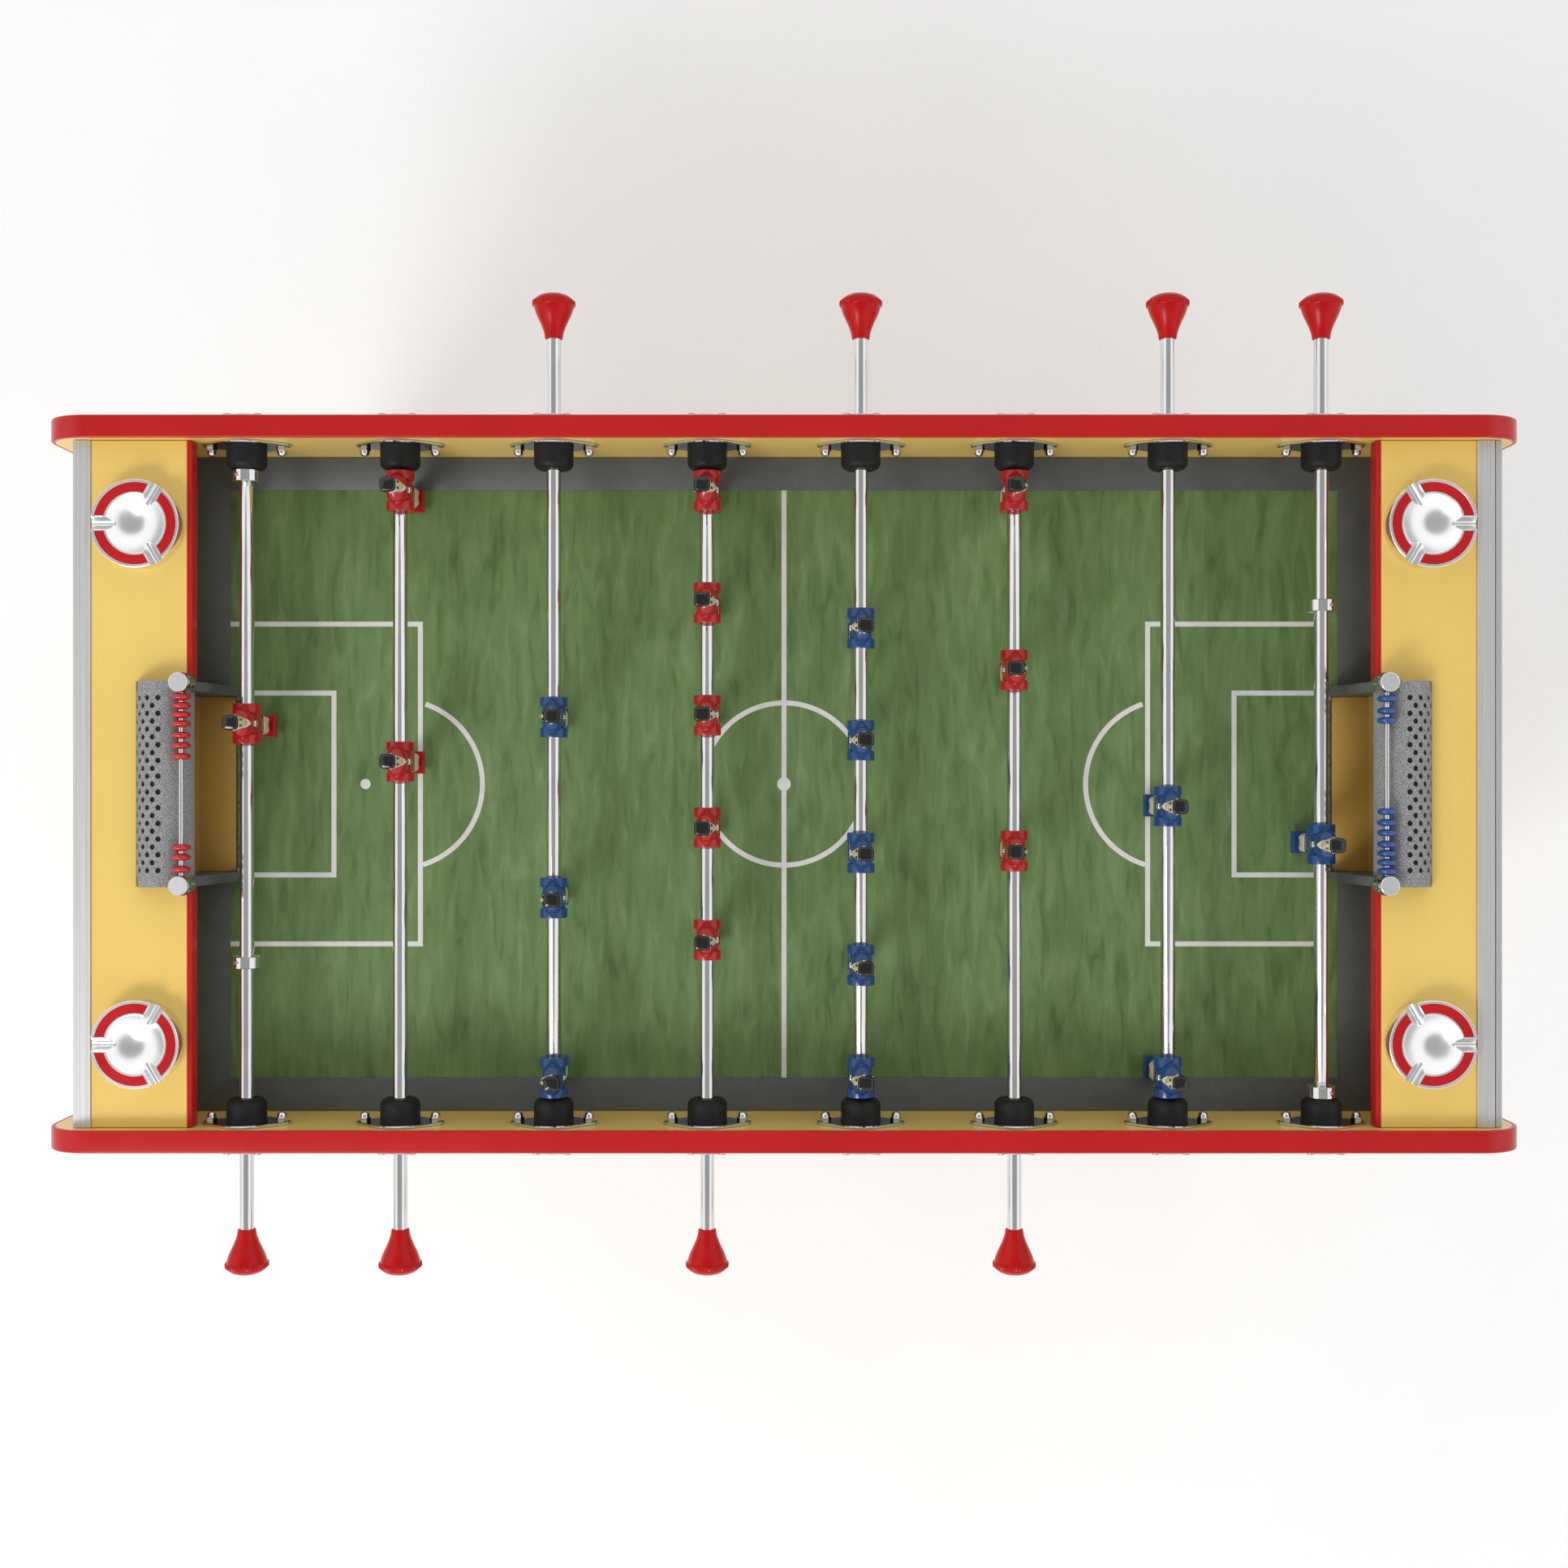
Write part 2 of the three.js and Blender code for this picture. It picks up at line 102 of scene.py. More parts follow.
# ---- camera, world and floor
SENSOR = 36
CAMERA_HEIGHT = 1740    # above the rail

camera_data = bpy.data.cameras.new("camera")
camera_data.sensor_width = SENSOR
camera_data.lens = SENSOR * 2240 / 1932
camera = bpy.data.objects.new("camera", camera_data)
camera.location = (0, 0, (RAIL_TOP + CAMERA_HEIGHT) * MM)
scene.collection.objects.link(camera)
scene.camera = camera
scene.view_settings.view_transform = "Standard"


def make_world():
    """A white studio with a grey ceiling patch, which gives chrome its grey middle stripe."""
    world = bpy.data.worlds.new("studio")
    scene.world = world
    world.use_nodes = True
    tree = world.node_tree
    coords = tree.nodes.new("ShaderNodeTexCoord")
    split = tree.nodes.new("ShaderNodeSeparateXYZ")
    shade = tree.nodes.new("ShaderNodeValToRGB")
    back = tree.nodes["Background"]
    tree.links.new(coords.outputs["Generated"], split.inputs[0])
    tree.links.new(split.outputs["Z"], shade.inputs[0])
    tree.links.new(shade.outputs[0], back.inputs[0])
    stops = shade.color_ramp.elements
    stops[0].position = 0.0
    stops[0].color = (0.9, 0.9, 0.9, 1)
    stops[1].position = 1.0
    stops[1].color = (0.42, 0.42, 0.42, 1)
    for position, grey in ((0.10, 0.7), (0.24, 1.15), (0.785, 1.17), (0.795, 0.42)):
        stop = stops.new(position)
        stop.color = (grey, grey, grey, 1)
    back.inputs[1].default_value = 1.0


def area_light(name, location, size, power):
    """A lamp that points at the table."""
    data = bpy.data.lights.new(name, "AREA")
    data.shape = "RECTANGLE"
    data.size, data.size_y = size
    data.energy = power
    light = bpy.data.objects.new(name, data)
    light.location = location
    light.rotation_euler = (Vector((0, 0, 0.8)) - Vector(location)).to_track_quat("-Z", "Y").to_euler()
    scene.collection.objects.link(light)


make_world()
area_light("key", (-1.8, -2.3, 3.5), (1.3, 1.3), 56)


# ---- materials
def linear(red, green, blue):
    """An sRGB colour from 0 to 255, as linear RGBA."""
    def channel(value):
        value /= 255
        return value / 12.92 if value <= 0.04045 else ((value + 0.055) / 1.055) ** 2.4
    return (channel(red), channel(green), channel(blue), 1)


def new_material(name):
    material = bpy.data.materials.new(name)
    material.use_nodes = True
    return material, material.node_tree, material.node_tree.nodes["Principled BSDF"]


EVEN = (1, 1, 1)


def noise(tree, scale, stretch=EVEN, detail=4, distortion=0.0):
    coords = tree.nodes.new("ShaderNodeTexCoord")
    mapping = tree.nodes.new("ShaderNodeMapping")
    texture = tree.nodes.new("ShaderNodeTexNoise")
    mapping.inputs["Scale"].default_value = stretch
    texture.inputs["Scale"].default_value = scale
    texture.inputs["Detail"].default_value = detail
    texture.inputs["Distortion"].default_value = distortion
    tree.links.new(coords.outputs["Object"], mapping.inputs[0])
    tree.links.new(mapping.outputs[0], texture.inputs["Vector"])
    return texture.outputs[0]


def ramp(tree, source, stops):
    node = tree.nodes.new("ShaderNodeValToRGB")
    elements = node.color_ramp.elements
    for index, (position, colour) in enumerate(stops):
        stop = elements[index] if index < 2 else elements.new(position)
        stop.position = position
        stop.color = colour
    tree.links.new(source, node.inputs[0])
    return node.outputs[0]


def spread(tree, source, low, high):
    """The middle of a noise's range, mapped from low to high."""
    node = tree.nodes.new("ShaderNodeMapRange")
    node.inputs["From Min"].default_value = 0.3
    node.inputs["From Max"].default_value = 0.7
    node.inputs["To Min"].default_value = low
    node.inputs["To Max"].default_value = high
    tree.links.new(source, node.inputs[0])
    return node.outputs[0]


def bump(tree, shader, source, distance):
    node = tree.nodes.new("ShaderNodeBump")
    node.inputs["Distance"].default_value = distance
    node.inputs["Strength"].default_value = 1.0
    tree.links.new(source, node.inputs["Height"])
    tree.links.new(node.outputs[0], shader.inputs["Normal"])


def finish(name, dark, light, scale, rough, stretch=EVEN, detail=4, contrast=(0.35, 0.65),
           metallic=0, coat=0, grain=None, specular=0.5):
    """A surface that varies between two colours, with roughness between two values.
    grain is (scale, stretch, depth in metres) of its relief."""
    material, tree, shader = new_material(name)
    pattern = noise(tree, scale, stretch, detail)
    colour = ramp(tree, pattern, [(contrast[0], linear(*dark)), (contrast[1], linear(*light))])
    tree.links.new(colour, shader.inputs["Base Color"])
    tree.links.new(spread(tree, pattern, rough[0], rough[1]), shader.inputs["Roughness"])
    shader.inputs["Metallic"].default_value = metallic
    shader.inputs["Specular IOR Level"].default_value = specular
    shader.inputs["Coat Weight"].default_value = coat
    shader.inputs["Coat Roughness"].default_value = 0.04
    if grain:
        bump(tree, shader, noise(tree, grain[0], grain[1], 5), grain[2])
    return material


def field_material():
    """Streaky marbled linoleum, with the streaks running along the rods."""
    material, tree, shader = new_material("field_linoleum")
    streaks = noise(tree, 95, (1.0, 0.2, 1.0), 10, 0.7)
    clouds = noise(tree, 9, (1.0, 0.5, 1.0), 4, 0.8)
    fine = ramp(tree, streaks, [(0.26, linear(60, 90, 38)), (0.42, linear(92, 121, 66)),
                                (0.58, linear(106, 135, 80)), (0.76, linear(128, 153, 104))])
    broad = ramp(tree, clouds, [(0.3, linear(74, 102, 50)), (0.7, linear(104, 132, 82))])
    blend = tree.nodes.new("ShaderNodeMix")
    blend.data_type = "RGBA"
    blend.inputs["Factor"].default_value = 0.35
    tree.links.new(fine, blend.inputs["A"])
    tree.links.new(broad, blend.inputs["B"])
    tree.links.new(blend.outputs["Result"], shader.inputs["Base Color"])
    tree.links.new(spread(tree, streaks, 0.42, 0.56), shader.inputs["Roughness"])
    bump(tree, shader, noise(tree, 260, (1.0, 0.4, 1.0), 4), 0.00006)
    return material

LAMINATE = {"stretch": (1.0, 0.25, 1.0), "grain": (240, (1, 0.3, 1), 0.00003)}
BRUSHED = {"stretch": (1, 0.008, 1), "detail": 2, "metallic": 1}
ENAMELLED = {"specular": 0.4, "coat": 0.15}

YELLOW = finish("yellow_laminate", (226, 191, 100), (231, 197, 107), 9, (0.30, 0.36), **LAMINATE)
# The yellow laminate made darker with painted shade, for the parts that lie in shade under the shelf and the
# goal's roof.
PAINTED_SHADE_YELLOW = finish("painted_shade_laminate", (198, 156, 76), (206, 164, 84), 9, (0.34, 0.42), **LAMINATE)
RED_EDGE = finish("red_edge", (178, 22, 22), (184, 24, 24), 12, (0.26, 0.3), specular=0.3)
GREEN = field_material()
LINE = finish("line_paint", (214, 213, 211), (221, 220, 218), 90, (0.5, 0.6))
BORDER = finish("border_paint", (76, 79, 78), (81, 84, 83), 60, (0.38, 0.46), grain=(500, EVEN, 0.00002))
CHROME = finish("chrome", (214, 214, 215), (222, 222, 223), 25, (0.08, 0.1), metallic=1)
STEEL = finish("ground_steel", (168, 168, 170), (178, 178, 180), 60, (0.24, 0.32), (8, 0.4, 8), metallic=1)
ALUMINIUM = finish("brushed_aluminium", (206, 206, 206), (213, 213, 213), 900, (0.5, 0.58), **BRUSHED)
DULL_ALUMINIUM = finish("dull_aluminium", (194, 194, 194), (201, 201, 201), 900, (0.52, 0.6), **BRUSHED)
POLISHED = finish("polished_aluminium", (234, 234, 235), (242, 242, 243), 40, (0.24, 0.3), metallic=1)
CAST = finish("cast_metal", (190, 190, 191), (208, 208, 209), 120, (0.26, 0.36), metallic=1,
              grain=(700, EVEN, 0.00003))
GRANITE = finish("speckled_paint", (52, 53, 55), (180, 180, 181), 1500, (0.5, 0.6), detail=2,
                 contrast=(0.32, 0.68), specular=0.3)
DARK_GRANITE = finish("dark_speckled_paint", (58, 60, 58), (112, 114, 111), 1300, (0.46, 0.56), detail=1,
                      contrast=(0.4, 0.6), specular=0.3)
# Near-black paint for a liner behind the roof's holes, standing in for the shade inside the goal: painted
# shade.
PAINTED_SHADE_SHEET = finish("painted_shade_backing", (16, 16, 17), (24, 24, 25), 80, (0.6, 0.7))
RUBBER = finish("black_rubber", (21, 21, 21), (25, 25, 25), 80, (0.5, 0.58), grain=(600, EVEN, 0.00003),
                specular=0.25)
ENAMEL = finish("red_enamel", (176, 16, 24), (184, 20, 28), 20, (0.2, 0.28), specular=0.35)
HANDLE = finish("handle_red", (172, 9, 9), (180, 12, 11), 12, (0.22, 0.28), specular=0.2)
RED_TEAM = finish("team_red", (160, 15, 20), (167, 18, 23), 12, (0.2, 0.24), **ENAMELLED)
BLUE_TEAM = finish("team_blue", (22, 62, 112), (27, 67, 118), 12, (0.2, 0.24), **ENAMELLED)
CREAM = finish("cream_paint", (196, 186, 156), (210, 200, 170), 90, (0.28, 0.38), coat=0.2)
HAIR = finish("hair_black", (11, 11, 12), (15, 15, 16), 60, (0.1, 0.14), specular=0.6)
DARK = finish("face_lines", (52, 40, 34), (66, 50, 42), 200, (0.35, 0.45))
RED_BEAD = finish("bead_red", (176, 14, 18), (186, 18, 22), 60, (0.16, 0.22), coat=0.4)
BLUE_BEAD = finish("bead_blue", (24, 68, 132), (32, 78, 142), 60, (0.16, 0.22), coat=0.4)
PLY = finish("plywood", (176, 136, 88), (198, 160, 112), 60, (0.5, 0.65), (0.2, 1, 6),
             grain=(300, (0.2, 1, 4), 0.00006))
LEG_WOOD = finish("leg_wood", (150, 98, 48), (188, 132, 74), 26, (0.28, 0.42), (6, 6, 0.5), 6,
                  grain=(220, (4, 4, 0.3), 0.00008))
FLOOR = finish("floor", (252, 252, 252), (254, 254, 254), 3, (0.7, 0.8))


# ---- mesh code
class Shape:
    """Closed bodies in millimetres, which become one mesh."""

    def __init__(self):
        self.verts, self.faces, self.slots = [], [], []

    def add(self, body, slot=0, matrix=None):
        verts, faces = body
        start = len(self.verts)
        if matrix is not None:
            verts = [matrix @ Vector(v) for v in verts]
        self.verts.extend(tuple(v) for v in verts)
        self.faces.extend([start + i for i in face] for face in faces)
        self.slots.extend([slot] * len(faces))
        return self

    def mesh(self, name, materials, sharp=32):
        data = bpy.data.meshes.new(name)
        data.from_pydata([(x * MM, y * MM, z * MM) for x, y, z in self.verts], [], self.faces)
        for material in materials:
            data.materials.append(material)
        data.polygons.foreach_set("material_index", self.slots)
        work = bmesh.new()
        work.from_mesh(data)
        bmesh.ops.recalc_face_normals(work, faces=work.faces)
        work.to_mesh(data)
        work.free()
        data.shade_smooth()
        data.set_sharp_from_angle(angle=math.radians(sharp))
        return data


def place(name, data, body, nodes=(), matrix=None):
    """Puts a mesh on a body. The matrix's shift is in millimetres."""
    obj = bpy.data.objects.new(name, data)
    if matrix is not None:
        scaled = matrix.copy()
        scaled.translation = scaled.translation * MM
        obj.matrix_world = scaled
    scene.collection.objects.link(obj)
    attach(obj, body)
    if nodes:
        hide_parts(*nodes)


def box(x0, x1, y0, y1, z0, z1):
    verts = [(x, y, z) for x in (x0, x1) for y in (y0, y1) for z in (z0, z1)]
    faces = [(0, 1, 3, 2), (4, 6, 7, 5), (0, 4, 5, 1), (2, 3, 7, 6), (0, 2, 6, 4), (1, 5, 7, 3)]
    return verts, faces


def soften(body, width, segments=2, angle=28):
    """Bevels every edge of a body that is sharper than angle."""
    work = bmesh.new()
    points = [work.verts.new(v) for v in body[0]]
    for face in body[1]:
        work.faces.new([points[i] for i in face])
    bmesh.ops.recalc_face_normals(work, faces=work.faces)
    edges = [e for e in work.edges if len(e.link_faces) == 2 and e.calc_face_angle() > math.radians(angle)]
    bmesh.ops.bevel(work, geom=edges, offset=width, segments=segments, profile=0.6, affect="EDGES",
                    clamp_overlap=True)
    work.verts.index_update()
    result = [tuple(v.co) for v in work.verts], [[v.index for v in f.verts] for f in work.faces]
    work.free()
    return result


def strips(rows, closed=False):
    """The faces between neighbouring rings of vertex numbers, without repeated corners."""
    faces = []
    for low, high in zip(rows, rows[1:] + rows[:1] if closed else rows[1:]):
        for k in range(len(low)):
            n = (k + 1) % len(low)
            corners = [low[k], low[n], high[n], high[k]]
            face = [c for i, c in enumerate(corners) if c not in corners[:i]]
            if len(face) > 2:
                faces.append(face)
    return faces


def turned(profile, segments=48, closed=False, wave=None):
    """A solid turned about Y from (radius, y) points, closed on the axis, or a ring if closed.
    wave(row, angle) adds to the radius."""
    verts, rows = [], []
    for row, (radius, y) in enumerate(profile):
        if radius == 0:
            rows.append([len(verts)] * segments)
            verts.append((0, y, 0))
            continue
        ids = []
        for k in range(segments):
            angle = 2 * math.pi * k / segments
            r = radius + (wave(row, angle) if wave else 0)
            ids.append(len(verts))
            verts.append((r * math.cos(angle), y, r * math.sin(angle)))
        rows.append(ids)
    return verts, strips(rows, closed)


def rounded_profile(points, radius, steps=3):
    """The same profile with each inner corner rounded."""
    result = [points[0]]
    for i in range(1, len(points) - 1):
        a, b, c = Vector(points[i - 1]), Vector(points[i]), Vector(points[i + 1])
        reach = min(radius, (a - b).length * 0.45, (c - b).length * 0.45)
        if reach < 0.05:
            result.append(points[i])
            continue
        start, end = b + (a - b).normalized() * reach, b + (c - b).normalized() * reach
        for s in range(steps + 1):
            t = s / steps
            result.append(tuple((1 - t) ** 2 * start + 2 * t * (1 - t) * b + t * t * end))
    result.append(points[-1])
    return result


def prism(outline, low, high, plane="XZ", hole=None, inset=0.0):
    """An outline extruded from low to high, with a chamfer of inset.
    plane names the outline's two axes. A hole has as many points as the outline."""
    def point(a, b, t):
        return {"XZ": (a, t, b), "YZ": (t, a, b), "XY": (a, b, t)}[plane]

    def shrink(points, by, sign):
        result = []
        for i, here in enumerate(points):
            p, q, r = Vector(points[i - 1]), Vector(here), Vector(points[(i + 1) % len(points)])
            d = (q - p).normalized() + (r - q).normalized()
            if d.length < 1e-9:
                result.append(q)
                continue
            d.normalize()
            result.append(q + Vector((-d.y, d.x)) * by * sign)
        return result

    def winding(points):
        total = sum(a[0] * b[1] - b[0] * a[1] for a, b in zip(points[-1:] + points[:-1], points))
        return 1 if total > 0 else -1

    levels = [(low, 0), (high, 0)]
    if inset:
        levels = [(low, inset), (low + inset, 0), (high - inset, 0), (high, inset)]
    verts, faces, groups = [], [], []
    for points, side in ((outline, 1), (hole, -1)):
        if not points:
            continue
        rings = []
        for t, by in levels:
            ring = shrink(points, side * by, winding(points)) if by else points
            rings.append([len(verts) + i for i in range(len(points))])
            verts.extend(point(a, b, t) for a, b in ring)
        faces += strips(rings)
        groups.append(rings)
    if hole:
        outer, inner = groups
        return verts, faces + strips([outer[0], inner[0]]) + strips([outer[-1], inner[-1]])
    return verts, faces + [groups[0][0], groups[0][-1]]


def loft(sections, count=32, turn=0.0):
    """A body through level sections (z, centre x, centre y, half x, half y, power)."""
    verts, rows = [], []
    for z, cx, cy, a, b, power in sections:
        ids = []
        for k in range(count):
            angle = 2 * math.pi * k / count + turn
            c, s = math.cos(angle), math.sin(angle)
            x = math.copysign(abs(c) ** (2 / power), c) * a + cx
            y = math.copysign(abs(s) ** (2 / power), s) * b + cy
            ids.append(len(verts))
            verts.append((x, y, z))
        rows.append(ids)
    faces = strips(rows)
    for ids in (rows[0], rows[-1]):
        cx = sum(verts[i][0] for i in ids) / count
        cy = sum(verts[i][1] for i in ids) / count
        verts.append((cx, cy, verts[ids[0]][2]))
        faces.extend([ids[k], ids[(k + 1) % count], len(verts) - 1] for k in range(count))
    return verts, faces


def blob(centre, radii, rows=8, count=14):
    """A small rounded body."""
    sections = []
    for i in range(1, rows):
        angle = -math.pi / 2 + math.pi * i / rows
        size = math.cos(angle)
        z = centre[2] + radii[2] * math.sin(angle)
        sections.append((z, centre[0], centre[1], radii[0] * size, radii[1] * size, 2))
    return loft(sections, count)


def polar(radius, degrees, cx=0.0, cy=0.0):
    angle = math.radians(degrees)
    return cx + radius * math.cos(angle), cy + radius * math.sin(angle)


def arc(cx, cy, radius, start, end, steps):
    return [polar(radius, start + (end - start) * i / steps, cx, cy) for i in range(steps + 1)]


def circle(cx, cy, radius, count):
    return arc(cx, cy, radius, 0.0, 360 * (count - 1) / count, count - 1)


def oval(cx, cy, a, b, count):
    turns = [2 * math.pi * i / count for i in range(count)]
    return [(cx + a * math.cos(t), cy + b * math.sin(t)) for t in turns]


def move(x, y, z):
    return Matrix.Translation((x, y, z))


def spin(degrees, axis):
    return Matrix.Rotation(math.radians(degrees), 4, axis)


HALF_TURN = spin(180, "Z")
ENDS = (("front", Matrix.Identity(4), FRONT_OUT), ("back", HALF_TURN, BACK_OUT))
SIDES = (("right", Matrix.Identity(4)), ("left", HALF_TURN))


# ---- rods
def rod_frame(index):
    turn = Matrix.Identity(4) if RODS[index][0] < 0 else HALF_TURN
    return move(rod_x(index), 0, ROD_Z) @ turn


def tube_mesh():
    """The outer tube, open at the far end where the core goes in and solid inside the handle."""
    profile = [(0, -452), (6.4, -452), (7, -451.4), (7, 327.4), (6.7, 327.9), (6.3, 328), (5.8, 327.9),
               (5.5, 327.4), (5.5, -140), (0, -140)]
    return Shape().add(turned(profile, 64))


def core_mesh():
    profile = [(0, -110), (5, -110), (5, 357.4), (7.2, 357.4), (7.2, 359.9), (3.2, 359.9),
               (3.2, 358.2), (0, 358.2)]
    return Shape().add(turned(rounded_profile(profile, 0.5, 3), 48))


def collar_mesh():
    """A stop collar with its set screw."""
    ring = [(7.05, -5.2), (7.6, -5.8), (13, -5.8), (13.5, -5.3), (13.5, 5.3), (13, 5.8), (7.6, 5.8),
            (7.05, 5.2)]
    shape = Shape().add(turned(ring, 64, closed=True))
    screw = [(0, -3), (2.9, -3), (2.9, 0.3), (2.5, 0.6), (1.5, 0.6), (1.5, -0.9), (0, -0.9)]
    return shape.add(turned(screw, 24), 0, spin(-32, "Y") @ move(0, 0, 13.2) @ spin(90, "X"))


def handle_mesh():
    outer = [(0, 44.2), (6, 44.0), (11, 43.2), (15, 41.6), (17.8, 39.6), (19.4, 37.8), (19.6, 37.3),
             (20.6, 37.0), (20.9, 36.4), (20.9, 33.0), (20.6, 32.5), (19.6, 32.2), (19.2, 31.5),
             (18.9, 29.5), (17.6, 25.5), (15.6, 21), (13.2, 16), (11.3, 11.5), (9.9, 7.5), (9.1, 4),
             (8.8, 1.2), (8.5, 0.3), (7.9, 0), (7.25, 0.2), (7.25, 18), (0, 18)]
    grip = {i for i, (r, _) in enumerate(outer) if r >= 20.5}

    def flutes(row, angle):
        return 0.32 * math.cos(40 * angle) - 0.2 if row in grip else 0

    return Shape().add(turned([(r, -434.5 - y) for r, y in outer], 160, wave=flutes))


# ---- players
TORSO = [
(-27.5, 0, 0, 8.2, 10.0, 5), (-26.5, 0, 0, 8.9, 10.6, 5), (-16, 0, 0, 9.0, 11.6, 5),
    (-4, 0, 0, 9.2, 12.8, 5), (1.5, 0, 0, 9.3, 13.2, 4), (4, -0.2, 0, 9.5, 14.3, 3),
    (8, -0.4, 0, 10.2, 15.2, 2.5), (13, -0.5, 0, 10.4, 15.4, 2.3), (17, -0.5, 0, 10.3, 15.2, 2.2),
    (20, -0.5, 0, 9.6, 14.0, 2.1), (22.5, -0.6, 0, 8.2, 11.6, 2.1), (24.5, -0.8, 0, 6.2, 8.4, 2.0),
    (26, -1, 0, 4.8, 5.6, 2.0), (26.6, -1, 0, 3.8, 4.2, 2.0)]
HEAD = [
(22, 0.2, 0, 4.8, 4.6, 2), (25, 1.0, 0, 5.8, 4.7, 2), (26.6, 1.5, 0, 6.6, 4.9, 2.1),
    (28.2, 1.4, 0, 7.2, 5.4, 2.1), (31, 0.7, 0, 7.6, 6.1, 2.2), (34, -0.3, 0, 7.9, 6.6, 2.2),
    (38, -1.5, 0, 7.6, 6.9, 2.2), (42, -2.4, 0, 7.2, 6.8, 2.2), (44.6, -2.9, 0, 6.4, 6.2, 2.2),
    (46, -3.1, 0, 3.6, 3.6, 2.0)]
HAIR_SHAPE = [
(27.5, -7.8, 0, 2.4, 4.6, 2.6), (29.5, -7.2, 0, 3.7, 6.3, 2.8), (33, -6.5, 0, 4.6, 7.0, 3.0),
    (37, -5.7, 0, 5.5, 7.3, 3.2), (40.5, -4.6, 0, 6.6, 7.3, 3.4), (42.4, -3.5, 0, 7.6, 7.25, 3.6),
    (43.8, -3.1, 0, 7.8, 7.25, 3.7), (44.9, -3.1, 0, 7.6, 7.05, 3.7), (45.7, -3.1, 0, 7.0, 6.5, 3.8),
    (46.1, -3.1, 0, 6.1, 5.6, 4.2), (47.1, -3.1, 0, 2.2, 2.0, 4.6), (47.2, -3.1, 0, 1.4, 1.2, 4.0)]


def at_height(sections, z, column):
    for low, high in zip(sections, sections[1:]):
        if low[0] <= z <= high[0]:
            t = (z - low[0]) / (high[0] - low[0])
            return low[column] * (1 - t) + high[column] * t
    return sections[-1][column]


def chest_x(y, z):
    """The front of the torso at (y, z)."""
    a, b, power, cx = (at_height(TORSO, z, k) for k in (3, 4, 5, 1))
    return cx + a * max(0.0, 1 - abs(y / b) ** power) ** (1 / power)


def neck_opening():
    """A shallow V of the undershirt, lying on the front of the shoulders."""
    rows, across = 8, 8
    verts, faces = [], []
    for lift in (0.3, -0.8):
        for i in range(rows + 1):
            z = 24.6 - 6.4 * i / rows
            half = 4.6 * (1 - i / rows) + 0.15
            for j in range(across + 1):
                y = half * (2 * j / across - 1)
                verts.append((chest_x(y, z) + lift, y, z + lift * 0.6))
    layer = (rows + 1) * (across + 1)
    for i in range(rows):
        for j in range(across):
            a = i * (across + 1) + j
            quad = [a, a + 1, a + across + 2, a + across + 1]
            faces.append(quad)
            faces.append([layer + k for k in quad])
    edge = list(range(across + 1))
    edge += [i * (across + 1) + across for i in range(1, rows + 1)]
    edge += [rows * (across + 1) + j for j in range(across - 1, -1, -1)]
    edge += [i * (across + 1) for i in range(rows - 1, 0, -1)]
    for a, b in zip(edge, edge[1:] + edge[:1]):
        faces.append([a, b, layer + b, layer + a])
    return verts, faces


